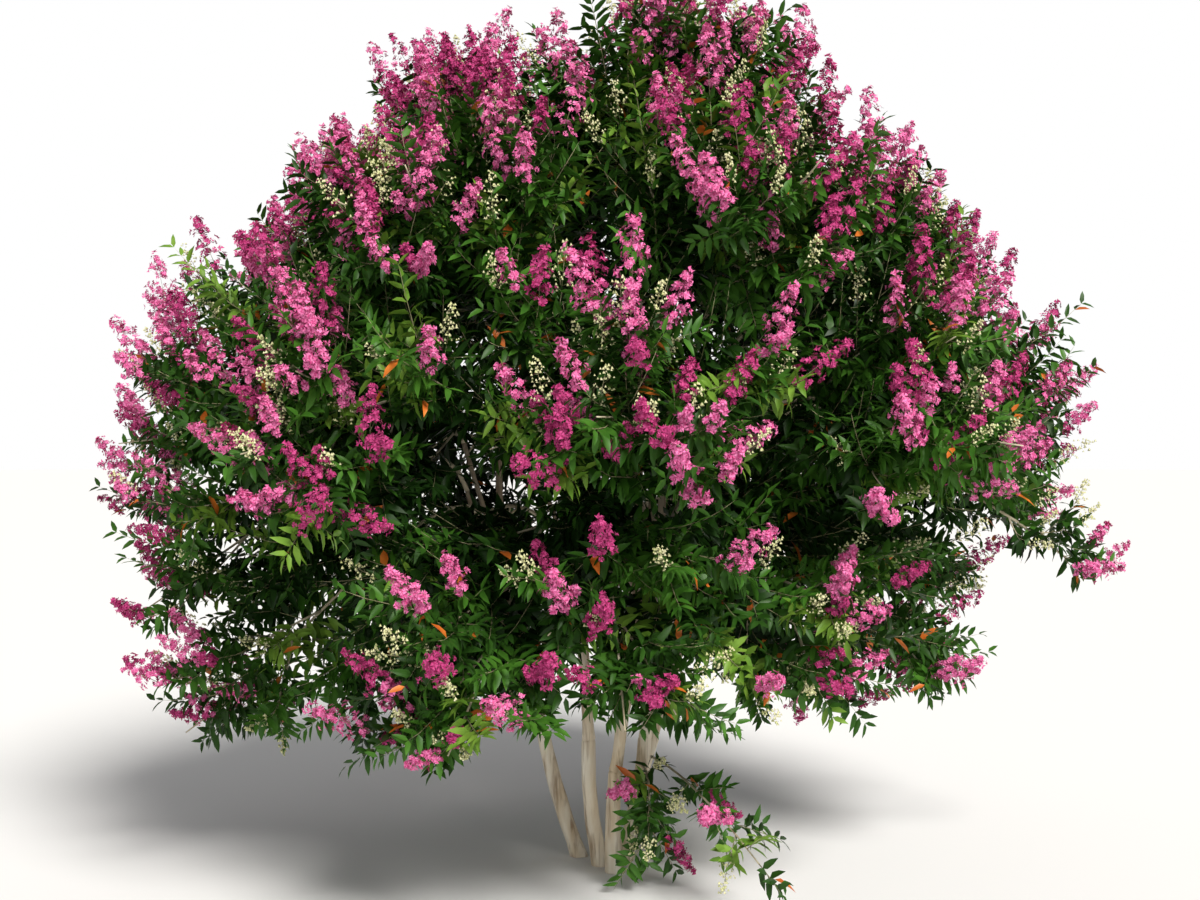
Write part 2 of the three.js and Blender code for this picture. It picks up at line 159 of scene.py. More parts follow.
def chance(*keys):
    """From 0 to 1: the fraction of 43758.5453 sin(15 + the sum of each key times its weight)."""
    weighed = [np.asarray(key, float) * weight for key, weight in zip(keys, (127.1, 311.7, 74.7, 269.5))]
    mixed = np.sin(15 + sum(weighed)) * 43758.5453
    return mixed - np.floor(mixed)


def spread(*keys):
    """The same from -1 to 1."""
    return 2 * chance(*keys) - 1


def unit(vectors):
    """Each vector divided by its own length."""
    return vectors / np.maximum(np.linalg.norm(vectors, axis=-1, keepdims=True), 1e-12)


def lerp(a, b, t):
    """From a at t = 0 to b at t = 1 in a straight line: a + (b - a) t."""
    return a + (b - a) * t


def grid_of(first, second):
    """Every pair of the two, as two long rows."""
    return (values.ravel() for values in np.meshgrid(first, second, indexing="ij"))


def swing(a, b, angle):
    """The way that lies at an angle, in radians, from a towards b: cos(angle) a + sin(angle) b."""
    return a * np.cos(angle)[..., None] + b * np.sin(angle)[..., None]


def offshoot(along, turn, splay):
    """Ways that splay off from `along` and are turned round it, in degrees. A turn of 0 is level."""
    reference = np.where(np.abs(along[..., 2:]) < 0.9, UP, np.array([1.0, 0, 0]))
    side = unit(np.cross(along, reference))
    upper = unit(np.cross(side, along))
    turn, splay = (np.radians(np.asarray(degrees, float)) for degrees in (turn, splay))
    return unit(swing(along, swing(side, upper, turn), splay))


def curve(start, way, end):
    """The three points of a curve as one array (..., 3, 3)."""
    return np.stack(np.broadcast_arrays(start, way, end), axis=-2).astype(float)


def point_on(path, t):
    """(1-t)^2 start + 2t(1-t) way + t^2 end."""
    t = np.asarray(t, float)[..., None]
    return (1 - t) ** 2 * path[..., 0, :] + 2 * t * (1 - t) * path[..., 1, :] + t**2 * path[..., 2, :]


def heading_on(path, t):
    """The curve's own way at t: along (1-t)(way - start) + t(end - way)."""
    t = np.asarray(t, float)[..., None]
    return unit((1 - t) * (path[..., 1, :] - path[..., 0, :]) + t * (path[..., 2, :] - path[..., 1, :]))


print("chance of keys 1 and 2", round(float(chance(1, 2)), 4))

# %% Round limbs along curves
def limbs_along(paths, marks, radii, sides):
    """Round limbs along n curves, with a ring square to the curve at each mark. radii is (n, marks)."""
    count, rings = len(paths), len(marks)
    centres = point_on(paths[:, None], np.broadcast_to(marks, (count, rings)))
    headings = heading_on(paths[:, None], np.broadcast_to(marks, (count, rings)))
    bent = np.cross(headings[:, 0], headings[:, -1])
    is_straight = np.linalg.norm(bent, axis=1, keepdims=True) < 1e-3
    normal = np.where(is_straight, offshoot(headings[:, 0], 0, 90), unit(bent))
    across = np.broadcast_to(normal[:, None], headings.shape)
    return rings_to_limbs(centres, across, np.cross(headings, across), radii[..., None], sides)


def rings_to_limbs(centres, across, over, radii, sides):
    """Skins n rows of rings, whose centres, across and over are (n, rings, 3). The points of a ring are
    centre + radius (cos(a) across + sin(a) over), and a point in the middle of the first ring and of the
    last closes the ends."""
    count, rings, _ = centres.shape
    angles = 2 * np.pi * np.arange(sides) / sides
    cosine, sine = (radii * part for part in (np.cos(angles), np.sin(angles)))
    ring = cosine[..., None] * across[:, :, None] + sine[..., None] * over[:, :, None]
    skin = (centres[:, :, None] + ring).reshape(count, -1, 3)
    points = np.concatenate([skin, centres[:, :1], centres[:, -1:]], axis=1)
    here = np.arange(sides)
    after = (here + 1) % sides
    up = np.arange(rings - 1)[:, None] * sides
    walls = np.stack([
        up + here, up + after, up + after + sides,
        up + here, up + after + sides, up + here + sides,
    ], axis=-1)
    first, last = rings * sides, rings * sides + 1
    top = (rings - 1) * sides
    foot_cap = np.stack([np.full(sides, first), after, here], -1)
    tip_cap = np.stack([np.full(sides, last), top + here, top + after], -1)
    return copies(points, np.concatenate([walls.reshape(-1, 3), foot_cap, tip_cap]))


# %% [markdown]
# ## Stems and boughs
# Five stems stand in one clump. They are as thick as a wrist, bow a little, flare at the ground and fork
# below the crown. The boughs leave them there, and the smaller boughs leave the larger ones. A Skin
# modifier could thicken a skeleton of edges, but curves with radii keep each limb where its solid is. All
# the numbers here are those of the solids.

# %% The plan of the plant
HEART = np.array([0.0, 110, 1480])
GOLDEN_TURN = 137.508
BOUGH_TIP = 8.5
FORK = 0.97
STEMS = {
    "stem_front": dict(foot=(0, 0), tip=(5, -22, 372), bow=(-8, 4)),
    "stem_mid_left": dict(foot=(-47, 93), tip=(-92, 62, 470), bow=(-16, -6)),
    "stem_left": dict(foot=(-129, 224), tip=(-262, 236, 460), bow=(-12, 0)),
    "stem_mid_right": dict(foot=(36, 161), tip=(112, 178, 455), bow=(10, 0)),
    "stem_right": dict(foot=(58, 331), tip=(150, 352, 430), bow=(-14, 0)),
}
FRONT, MID_LEFT, LEFT, MID_RIGHT, RIGHT = STEMS
TIERS = [
    dict(name="top", lift=62, first_turn=-68, rise=0.25, reach=(1640, 1760, 1570),
         stems=(FRONT, MID_RIGHT, MID_LEFT)),
    dict(name="shoulder", lift=33, first_turn=-6, rise=0.25, reach=(1500, 1600, 1620, 1560, 1560, 1600),
         stems=(MID_RIGHT, RIGHT, RIGHT, LEFT, MID_LEFT, FRONT)),
    dict(name="girdle", lift=3, first_turn=4, branch_at=0.42, rise=0.04,
         reach=(1700, 1660, 1640, 1700, 1800, 1660, 1560, 1600)),
    dict(name="skirt", lift=-32, first_turn=-52, branch_at=0.14, rise=0.0,
         reach=(1360, 1520, 1580, 1640, 1820, 1600)),
    dict(name="flank", lift=-15, first_turn=184, branch_at=0.3, rise=0.0, reach=(1820,)),
    dict(name="apron", lift=-30, first_turn=-90, branch_at=0.2, rise=0.0, reach=(1450,)),
    dict(name="spur", lift=-13, first_turn=-4, branch_at=0.34, rise=0.1, reach=(2010,),
         shoot_size=0.5, shorten=0.9, spray_size=0.55),
]
LOW_SHOOTS = [
    dict(name="low_front", stem=MID_RIGHT, leaves_at=0.74, way=(128, -270, 400), tip=(106, -235, 150)),
    dict(name="low_right", stem=RIGHT, leaves_at=0.8, way=(245, -150, 390), tip=(430, -750, 225)),
]


def stem_radius(stem, t):
    """29 mm at the ground to 24 mm at the fork, with a flare of 5 mm that dies away 55 mm up."""
    return lerp(29.0, 24.0, t) + 5.0 * np.maximum(0, 1 - t * STEMS[stem]["tip"][2] / 55)


for stem in STEMS.values():
    foot, tip = np.array([*stem["foot"], 0.0]), np.array(stem["tip"], float)
    stem["path"] = curve(foot, (foot + tip) / 2 + 2 * np.array([*stem["bow"], 0.0]), tip)
print("stems", len(STEMS))

# %% [markdown]
# ## Masses of the crown
# Each mass lies in its own direction from the heart of the crown and reaches its own distance. Leaves
# strewn in a ball could fill the same outline, but boughs and leaders give the crown its lumps and dark
# gaps. A mass's bough ends at three tenths of its reach, and its leader runs on to eight tenths. The
# primary boughs leave a stem, and every other bough leaves the primary one that points most nearly its way.

# %% Lay out the masses, their boughs and their leaders
# Reaches are shares of a mass's reach, and the bough's radius is a share of its parent's.
PARTING = 0.3
BOUGH_REACH, LEADER_REACH = 0.3, 0.8
SHARE_OF_STEM, SHARE_OF_BOUGH = 0.8, 0.62


def lay_out_masses():
    """The crown's masses in the order of their tiers, each with its direction, reach and stem."""
    crown = []
    for tier in TIERS:
        lift = np.radians(tier["lift"])
        for i, reach in enumerate(tier["reach"]):
            turn = np.radians(tier["first_turn"] + 360 * i / len(tier["reach"]))
            along = np.array([np.cos(turn) * np.cos(lift), np.sin(turn) * np.cos(lift), np.sin(lift)])
            stem = tier["stems"][i] if "stems" in tier else None
            crown.append(dict(
                name=f"{tier['name']}_{i + 1}", number=len(crown) + 1,
                tier=tier, along=along, reach=reach, stem=stem,
            ))
    return crown


def parent_of(mass, primaries):
    """What a mass's bough leaves: a curve, the place on it, the radius there, and the bough's share."""
    if mass["stem"]:
        return STEMS[mass["stem"]]["path"], FORK, stem_radius(mass["stem"], FORK), SHARE_OF_STEM
    nearest = max(primaries, key=lambda primary: primary["along"] @ mass["along"])
    at = mass["tier"]["branch_at"] + 0.06 * spread(mass["number"], 1)
    return nearest["path"], at, lerp(nearest["radius"], BOUGH_TIP, at), SHARE_OF_BOUGH


def grow_bough(mass, primaries):
    """Gives a mass its bough and, just beyond the bough's tip, the leader that runs on."""
    parent, at, parent_radius, share = parent_of(mass, primaries)
    start = point_on(parent, at)
    end = HEART + mass["along"] * BOUGH_REACH * mass["reach"]
    away = np.linalg.norm(end - start)
    way = start + (heading_on(parent, at) * 0.5 + mass["along"] * 0.1) * away
    mass.update(path=curve(start, way, end), radius=parent_radius * share)
    onward = heading_on(mass["path"], 1)
    leader_start = end + PARTING * onward
    leader_end = HEART + mass["along"] * LEADER_REACH * mass["reach"]
    leader_way = leader_start + onward * 0.45 * np.linalg.norm(leader_end - leader_start)
    mass["leader"] = curve(leader_start, leader_way, leader_end)


# %% Boughs and leaders of all masses, and the low shoots
crown = lay_out_masses()
for mass in crown:
    grow_bough(mass, [m for m in crown if m["stem"]])
for i, low in enumerate(LOW_SHOOTS):
    start = point_on(STEMS[low["stem"]]["path"], low["leaves_at"])
    tip = np.array(low["tip"], float)
    low.update(leader=curve(start, np.array(low["way"], float), tip), along=unit(tip - start))
    low["number"] = len(crown) + 1 + i
print("masses", len(crown), "low shoots", len(LOW_SHOOTS))

# %% [markdown]
# ## The room of each mass
# A mass keeps to the points that are nearer to its own centre than to any other, above its floor, and
# within its reach. What would leave that room is cut back, and skipped where it still doesn't fit. Booleans
# would cut it off bluntly, so whole arrays of points are tested before anything is made. Here a shoot or a
# spray may reach a little way into a neighbour's room, which closes the seams between the masses.

# %% The room of each mass
OVERLAP = 70
TALLEST = 3205
CENTRE_AT = 0.64
LOW_FLOOR, LOW_CEILING, LEFT_FLOOR, CROWN_FLOOR = 6, 417, 330, 420
SMALLER_SIZES = (0.8, 0.6)
masses = crown + LOW_SHOOTS


def from_tiers(name, usual, low):
    """A number for each mass: its tier's own or the usual one, and for a low shoot the last."""
    return np.array([m["tier"].get(name, usual) if "tier" in m else low for m in masses])


is_low = np.array(["tier" not in m for m in masses])
is_slim = from_tiers("name", "", "") == "spur"
number = np.array([m["number"] for m in masses])
along = np.array([m["along"] for m in masses])
leaders = np.stack([m["leader"] for m in masses])
reach = np.array([m.get("reach", np.inf) for m in masses])
rise = from_tiers("rise", 0.0, 0.0)
shoot_size = from_tiers("shoot_size", 1.0, 1.0)
shorten = from_tiers("shorten", 0.45, 0.45)
spray_size = from_tiers("spray_size", 1.0, 0.55)
blooms_from = np.where(is_low, 0, 0.72 * reach)
is_left_skirt = (from_tiers("name", "", "") == "skirt") & (along[:, 0] < -0.5)
lowest = np.where(is_low, LOW_FLOOR, np.where(is_left_skirt, LEFT_FLOOR, CROWN_FLOOR))
highest = np.where(is_low, LOW_CEILING, np.inf)
crown_reach = np.where(is_low, 0, reach)[:, None]
centres = np.where(is_low[:, None], point_on(leaders, CENTRE_AT), HEART + along * CENTRE_AT * crown_reach)
towards = unit(centres[None] - centres[:, None])
border = np.sum((centres[None] + centres[:, None]) / 2 * towards, axis=-1)
is_neighbour = (is_low[None] == is_low[:, None]) & ~np.eye(len(masses), dtype=bool) & ~is_slim[None]
print("tallest reach", round(float((HEART + along * crown_reach)[:, 2].max())))


# %% What fits in a room
def from_heart(points):
    """How far points lie from the heart of the crown: the length of point - heart."""
    return np.linalg.norm(points - HEART, axis=-1)


def in_room(points, mass, beyond=0.0):
    """Whether all k points of each row of (n, k, 3) lie in its mass's room. `beyond` adds to the reach."""
    owner = mass[:, None]
    is_level = (points[..., 2] >= lowest[owner]) & (points[..., 2] <= highest[owner])
    is_near = from_heart(points) <= reach[owner] + beyond
    across = np.einsum("nkc,nmc->nkm", points, towards[mass]) - border[mass][:, None]
    on_own_side = ((across < OVERLAP) | ~is_neighbour[mass][:, None]).all(-1)
    return (is_level & is_near & on_own_side).all(-1)


def within_bounds(tips, owner, beyond, below, above_ground):
    """Whether tips (n, 3) end within reach + beyond, over the floor - below, and under the top."""
    is_over_floor = tips[:, 2] > np.maximum(lowest[owner] - below, above_ground)
    return (from_heart(tips) < reach[owner] + beyond) & is_over_floor & (tips[:, 2] < TALLEST)


def cut_back(grow, fit):
    """Grows at the full size and at smaller ones, and keeps the first that fits. `grow` takes a size and
    gives a table, and `fit` says which rows of that fit. The second result says which rows found a size."""
    chosen = grow(1)
    found = fit(chosen)
    for size in SMALLER_SIZES:
        grown = grow(size)
        good = fit(grown) & ~found
        for name in chosen:
            chosen[name][good] = grown[name][good]
        found |= good
    return chosen, found


# %% Limbs to keep clear of
TESTED_AT_ONCE = 8000
marks = np.linspace(0, 1, 25)
limb_points = np.concatenate([point_on(limb["path"], marks) for limb in (*STEMS.values(), *crown)])
limb_radii = np.concatenate([
    *(stem_radius(name, marks) for name in STEMS),
    *(lerp(mass["radius"], BOUGH_TIP, marks) for mass in crown),
])


def clear_of_limbs(points, gap):
    """Whether points (n, 3) stay clear by `gap` of every stem and bough, taken as rows of balls."""
    is_clear = np.ones(len(points), bool)
    for part in range(0, len(points), TESTED_AT_ONCE):
        chunk = points[part : part + TESTED_AT_ONCE]
        squared = (chunk**2).sum(1)[:, None] + (limb_points**2).sum(1) - 2 * chunk @ limb_points.T
        is_clear[part : part + TESTED_AT_ONCE] = (squared > (limb_radii + gap) ** 2).all(1)
    return is_clear


print("balls along the limbs", len(limb_points))

# %% [markdown]
# ## Shoots and sprays
# Thirteen shoots turn round each leader by the golden angle, which spreads them more evenly than random
# turns would. They bend outward and up, and the last one runs on from the leader's tip. Twelve sprays turn
# round each shoot in the same way. The solids make every second shoot and every fourth spray, as one blade.
# Here the others are grown too, and all have single leaves, so the masses fill up within the same outline.

# %% Grow the shoots
SHOOTS, SPRAYS = 13, 12
SHOOT_LENGTH, SHOOT_RADII, SHOOT_GAP = 620, (4.6, 2.2), 7.5


def grow_shoots():
    """Mass, key and path of each shoot: first those of the crown, then the two low ones, which are leaders
    themselves. At t along its leader a shoot splays by 66 - 30 t degrees, and its length is
    SHOOT_LENGTH (1 - shorten t), with some chance in both."""
    mass, key = grid_of(np.flatnonzero(~is_low), np.arange(SHOOTS))
    t = lerp(0.1, 1.0, key / (SHOOTS - 1))
    start = point_on(leaders[mass], t)
    turn = GOLDEN_TURN * key + 360 * chance(number[mass], 7) + 25 * spread(number[mass], key, 1)
    splay = np.where(key == SHOOTS - 1, 8, 66 - 30 * t) + 8 * spread(number[mass], key, 2)
    heading = offshoot(heading_on(leaders[mass], t), turn, splay)
    length = shoot_size[mass] * SHOOT_LENGTH * (1 - shorten[mass] * t)
    length *= 1 + 0.14 * spread(number[mass], key, 3)
    onward = unit(heading + along[mass] * 0.45 + rise[mass, None] * UP)

    def grow(size):
        half = (0.5 * size * length)[:, None]
        return {"path": curve(start, start + heading * half, start + (heading + onward) * half)}

    def along_path(grown, marks):
        return point_on(grown["path"][:, None], np.broadcast_to(marks, (len(mass), len(marks))))

    grown, fits = cut_back(grow, lambda grown: in_room(along_path(grown, [0.25, 0.5, 0.75, 1.0]), mass))
    line = along_path(grown, np.linspace(0, 1, 9))
    fits &= clear_of_limbs(line.reshape(-1, 3), SHOOT_GAP).reshape(len(mass), -1).all(1)
    low = np.flatnonzero(is_low)
    mass, key = np.append(mass[fits], low), np.append(key[fits], 0 * low)
    return mass, key, np.concatenate([grown["path"][fits], leaders[low]])


shoot_mass, shoot_key, shoot_path = grow_shoots()
print("shoots", len(shoot_mass))

# %% [markdown]
# ## Which sprays are grown
# The crown isn't equally dense all over. The plant is open in the lower parts at both sides, and on the rim
# at the left, where single shoots stand against the sky, so some sprays are left out there. The slim spur
# takes only every fourth spray, and no spray hangs before the forks of the stems. Of the flowering ones
# those of the solids stay, and the others are thinned so that no two panicles crowd each other, with
# smaller gaps near the top and towards the left.

# %% Where the crown is open
LIKELY_TO_FLOWER, FINE_LIKELY_TO_FLOWER = 0.5, 0.85
PANICLE_LENGTH, PANICLE_WIDTH = 190.0, 104.0
PANICLE_AT = 0.56
GAP_HEIGHTS, PANICLE_GAPS = (700, 1500, 2100), (200.0, 148.0, 130.0)
GAP_TILT = 0.13 / 1000
SPRAY_LENGTH, SPRAY_WIDTH = 340, 210
PANICLE_LIFT, TWIG_BEND, LOW_TWIG_BEND = 0.45, 0.34, -0.06
RIM_FROM, LEFT_FROM, FAR_LEFT_FROM = 0.82, -900, -1200
OPEN_AT_SIDES, OPEN_AT_RIM, OPEN_AT_LEFT_RIM, OPEN_FAR_LEFT = 0.42, 0.2, 0.7, 0.5
FORKS_MIDDLE, FORKS_HALF_WIDTH, FORKS_BACK, FORKS_TOP, EDGE_RISE = -20, 180, 300, 490, 0.13
upward = np.where(is_low, 0, PANICLE_LIFT)[:, None] * UP
bend = np.where(is_low, LOW_TWIG_BEND, TWIG_BEND)[:, None] * (UP - along * along[:, 2:])


def openness(root, mass, flowers, in_solids):
    """The share of the sprays that are left out where each one stands, from its root. It grows downward
    from 1.5 m to 0.9 m, and sideways from 350 mm to 550 mm off a line 150 mm left of the middle."""
    low_down = np.clip((1500 - root[:, 2]) / 600, 0, 1)
    beside = np.clip((np.abs(root[:, 0] + 150) - 350) / 200, 0, 1)
    on_rim = from_heart(root) > RIM_FROM * reach[mass]
    at_sides = OPEN_AT_SIDES * low_down * beside
    at_rim = np.where(root[:, 0] < LEFT_FROM, OPEN_AT_LEFT_RIM, OPEN_AT_RIM) * on_rim
    without_flowers = np.where(is_low[mass], 0, at_sides + at_rim)
    is_far_left = on_rim & ~in_solids & (root[:, 0] < FAR_LEFT_FROM)
    return np.where(flowers, OPEN_FAR_LEFT * is_far_left, without_flowers)


def hides_forks(points, mass):
    """Whether points (n, 3) of the crown hang before the forks of the stems, which show under its edge. The
    edge rises towards the front, as it does for someone who looks at the forks from there."""
    edge = FORKS_TOP + EDGE_RISE * np.maximum(0, -points[:, 1])
    is_before = (np.abs(points[:, 0] - FORKS_MIDDLE) < FORKS_HALF_WIDTH) & (points[:, 1] < FORKS_BACK)
    return ~is_low[mass] & is_before & (points[:, 2] < edge)


# %% Grow the sprays
def grow_sprays():
    """All sprays as a table: mass, key, root, heading, length, width, and whether each one flowers. A spray
    splays by 46 degrees, 12 more or less, and the last one, which runs on from the shoot's tip, by 6."""
    shoot, key = grid_of(np.arange(len(shoot_mass)), np.arange(SPRAYS))
    mass, shoot_keys = shoot_mass[shoot], shoot_key[shoot]
    t = lerp(0.16, 1.0, key / (SPRAYS - 1))
    root = point_on(shoot_path[shoot], t)
    turn = GOLDEN_TURN * key + 360 * chance(number[mass], shoot_keys, 5)
    splay = np.where(key == SPRAYS - 1, 6, 46 + 12 * spread(number[mass], shoot_keys, key, 1))
    heading = offshoot(heading_on(shoot_path[shoot], t), turn, splay)
    heading = unit(heading + along[mass] * 0.3 + 0.7 * rise[mass, None] * UP)
    side, upper = offshoot(heading, 0, 90), offshoot(heading, 90, 90)
    in_solids = (key % 4 == 3) & (shoot_keys % 2 == 0)
    likely = np.where(in_solids, LIKELY_TO_FLOWER, FINE_LIKELY_TO_FLOWER)
    flowers = (from_heart(root) > blooms_from[mass]) & (chance(number[mass], shoot_keys, key, 2) < likely)
    flowers &= ~is_low[mass] | (key % 4 == 3)
    size_by_chance = spray_size[mass] * (1 + 0.16 * spread(number[mass], shoot_keys, key))

    def grow(size):
        length, width = (whole * size * size_by_chance for whole in (SPRAY_LENGTH, SPRAY_WIDTH))
        return {"length": length, "width": width}

    def fit(grown):
        length, width = grown["length"][:, None], grown["width"][:, None]
        tip = root + heading * length - upper * 0.06 * length
        waist = root + heading * 0.42 * length
        blade = np.stack([tip, waist - side * width / 2, waist + side * width / 2], axis=1)
        bloom = root + heading * 0.55 * length + unit(heading + upward[mass]) * PANICLE_LENGTH
        return in_room(blade, mass) & (~flowers | in_room(bloom[:, None], mass, beyond=100))

    grown, fits = cut_back(grow, fit)
    fits &= chance(number[mass], shoot_keys, key, 4) > openness(root, mass, flowers, in_solids)
    fits &= ~is_slim[mass] | (key % 4 == 3)
    fits &= ~hides_forks(root, mass) & ~hides_forks(root + heading * grown["length"][:, None], mass)
    sprays = pick(dict(
        mass=mass, key=key, root=root, heading=heading, side=side, upper=upper,
        flowers=flowers, in_solids=in_solids, **grown,
    ), fits)
    steps_out = (sprays["length"][:, None] * np.array([0.3, 0.6, 0.9]))[..., None]
    middles = sprays["root"][:, None] + sprays["heading"][:, None] * steps_out
    return pick(sprays, clear_of_limbs(middles.reshape(-1, 3), 6).reshape(-1, 3).all(1))


# %% Thin out the panicles
def without_crowding(sprays):
    """Which sprays flower once none has a panicle whose middle is nearer than the gap to that of one
    settled before it. Those of the solids come first and all stay. The gap follows from the height, and
    shrinks towards the left by 13 % a metre."""
    middle = sprays["root"] + sprays["heading"] * (PANICLE_AT * sprays["length"])[:, None]
    middle += unit(sprays["heading"] + upward[sprays["mass"]]) * PANICLE_LENGTH / 2
    wanted = np.flatnonzero(sprays["flowers"])
    gap = np.interp(middle[:, 2], GAP_HEIGHTS, PANICLE_GAPS) * (1 + GAP_TILT * middle[:, 0])
    kept = np.zeros(len(middle), bool)
    for row in wanted[np.lexsort((chance(wanted, 9), ~sprays["in_solids"][wanted]))]:
        gaps = np.linalg.norm(middle[kept] - middle[row], axis=1)
        kept[row] = sprays["in_solids"][row] or not (gaps < gap[row]).any()
    return kept


sprays = grow_sprays()
sprays["flowers"] = without_crowding(sprays)
print("sprays", len(sprays["mass"]), "in flower", int(sprays["flowers"].sum()))

# %% [markdown]
# ## Twigs of a spray
# A spray is one long twig that bends up towards the light, with three shorter side twigs that fill out its
# width. On the outside of the crown half of the side twigs are left out, so the tips stand free. A
# flowering twig stops at 0.56 of its length, where its panicle stands, and so does one with a panicle in
# bud. From here on the plant is finer than the solids, so the small differences between twigs come from a
# seeded generator.

# %% Lay out the twigs
luck = np.random.default_rng(11)
BUD_SHARE, BUDS_FROM = 0.46, 0.66
DENSE_WITHIN, SIDE_TWIG_SHARE = 0.8, 0.5
SIDE_TWIGS = ((0.13, 0.85), (0.27, 1.0), (0.42, 0.9))  # place on the spray, and length
TWIG_RADIUS, SIDE_TWIG_RADIUS = 2.0, 1.3


def vary(shape, by):
    """Random numbers from -by to by."""
    return luck.uniform(-by, by, shape)


def side_twig(main, i, place, share):
    """The i-th side twig of every spray: it splays to one side, rolled a little up or down."""
    count = len(main["spray"])
    is_inside = outness < DENSE_WITHIN
    side_sign = np.where((sprays["key"] + i) % 2 == 0, 1, -1)
    splay = np.radians(np.where(is_inside, 43, 32) + vary(count, 7))
    roll = np.radians(vary(count, 35))
    outward = sprays["side"] * (side_sign * np.cos(roll))[:, None] + sprays["upper"] * np.sin(roll)[:, None]
    s = (place + vary(count, 0.03)) * sprays["length"]
    risen = main["bend"] * (s**2 / main["length"])[:, None]
    return dict(
        spray=main["spray"],
        root=sprays["root"] + sprays["heading"] * s[:, None] + risen,
        heading=unit(swing(sprays["heading"], outward, splay)),
        upper=sprays["upper"],
        length=share * (sprays["width"] / 2 - 22) / np.sin(splay) * (1 + vary(count, 0.12)),
        bend=0.5 * main["bend"],
        leafy_from=np.full(count, 18.0),
        is_main=np.zeros(count, bool),
    )


def lay_out_twigs():
    """A table with a row for each twig: its spray, root, heading, length, bend, and where its leaves begin.
    A twig is a curve whose points are root + heading s + bend s^2 / length."""
    count = len(sprays["mass"])
    ends_in_panicle = sprays["flowers"] | sprays["buds"]
    main = dict(
        spray=np.arange(count),
        root=sprays["root"],
        heading=sprays["heading"],
        upper=sprays["upper"],
        length=sprays["length"] * np.where(ends_in_panicle, PANICLE_AT, 1),
        bend=bend[sprays["mass"]],
        leafy_from=np.full(count, 24.0),
        is_main=np.ones(count, bool),
    )
    rows = [main] + [side_twig(main, i, place, share) for i, (place, share) in enumerate(SIDE_TWIGS)]
    twigs = {name: np.concatenate([row[name] for row in rows]) for name in main}
    is_inside = outness[twigs["spray"]] < DENSE_WITHIN
    return pick(twigs, twigs["is_main"] | is_inside | (luck.random(len(is_inside)) < SIDE_TWIG_SHARE))


outness = from_heart(sprays["root"]) / np.where(is_low, 500, reach)[sprays["mass"]]
sprays["buds"] = ~sprays["flowers"] & (outness > BUDS_FROM) & (luck.random(len(outness)) < BUD_SHARE)
twigs = lay_out_twigs()
print("twigs", len(twigs["spray"]), "in bud", int(sprays["buds"].sum()))


def on_twig(row, s):
    """The point at s mm along each twig of the rows, and the twig's own way there."""
    turned = twigs["bend"][row] * (s / twigs["length"][row])[:, None]
    point = twigs["root"][row] + (twigs["heading"][row] + turned) * s[:, None]
    return point, unit(twigs["heading"][row] + 2 * turned)


# %% [markdown]
# ## Leaves
# The leaves stand in pairs in two ranks, so a shoot seen from the side looks like a fishbone. A leaf is
# narrow and pointed, folded a little along its midrib, and bends back towards its tip. A picture on a flat
# card could stand for one, but a few opaque faces catch the light as a fold does and need no holes in a
# picture. On the outside of the crown six triangles round a point on the midrib carry all of that. Further
# in a leaf has four, and deep inside, where only outlines show, it is a kite of two, a little larger, with
# more room between the pairs.

# %% One leaf
LEAF_LENGTH, LEAF_WIDTH, PAIR_STEP, MOST_PAIRS = 66.0, 22.5, 26.0, 16
LEAF_DEEP_INSIDE = 0.6
# Corners lie along the leaf and across it, in shares of its length and half width.
FOLDED_RIM = [(0, 0), (0.28, -0.95), (0.68, -0.75), (1, 0), (0.68, 0.75), (0.28, 0.95)]
FOLDED_CORNERS = np.array([*FOLDED_RIM, (0.48, 0)])
FOLDED_FACES = np.array([(i, (i + 1) % 6, 6) for i in range(6)])
PLAIN_CORNERS = np.array([(0, 0), (0.3, -0.96), (0.3, 0.96), (0.68, -0.74), (0.68, 0.74), (1, 0)])
PLAIN_FACES = np.array([(0, 1, 2), (1, 3, 4), (1, 4, 2), (3, 5, 4)])
KITE_CORNERS = np.array([(0, 0), (0.4, -1), (1, 0), (0.4, 1)])
KITE_FACES = np.array([(0, 1, 2), (0, 2, 3)])
print("triangles of a leaf", [len(faces) for faces in (FOLDED_FACES, PLAIN_FACES, KITE_FACES)])


def leaf_shapes(leaves, corners):
    """Leaves at root (n, 3) that point along `way` and face `face`. A point at u along and v across lies at
    root + way L u + side W/2 v + face (fold W/2 |v| - curl L u^2)."""
    side = np.cross(leaves["face"], leaves["way"])[:, None]
    u, v = corners[None, :, 0, None], corners[None, :, 1, None]
    length, half = (leaves[name][:, None, None] for name in ("length", "half_width"))
    curl, fold = (leaves[name][:, None, None] for name in ("curl", "fold"))
    root, way, face = (leaves[name][:, None] for name in ("root", "way", "face"))
    out_of_flat = fold * half * np.abs(v) - curl * length * u**2
    return root + way * (length * u) + side * (half * v) + face * out_of_flat


# %% Where the leaves stand
def leaf_pairs():
    """Rows for each pair on every twig: the twig, the pair's number on it, how far along, and whether it is
    deep inside the crown."""
    row, pair = grid_of(np.arange(len(twigs["spray"])), np.arange(MOST_PAIRS))
    is_deep = outness[twigs["spray"][row]] < LEAF_DEEP_INSIDE
    s = twigs["leafy_from"][row] + PAIR_STEP * pair * np.where(is_deep, 1.7, 1)
    kept = s < twigs["length"][row] + 4
    row, pair, s, is_deep = row[kept], pair[kept], s[kept], is_deep[kept]
    return row, pair, np.minimum(s + vary(len(s), 3), twigs["length"][row]), is_deep


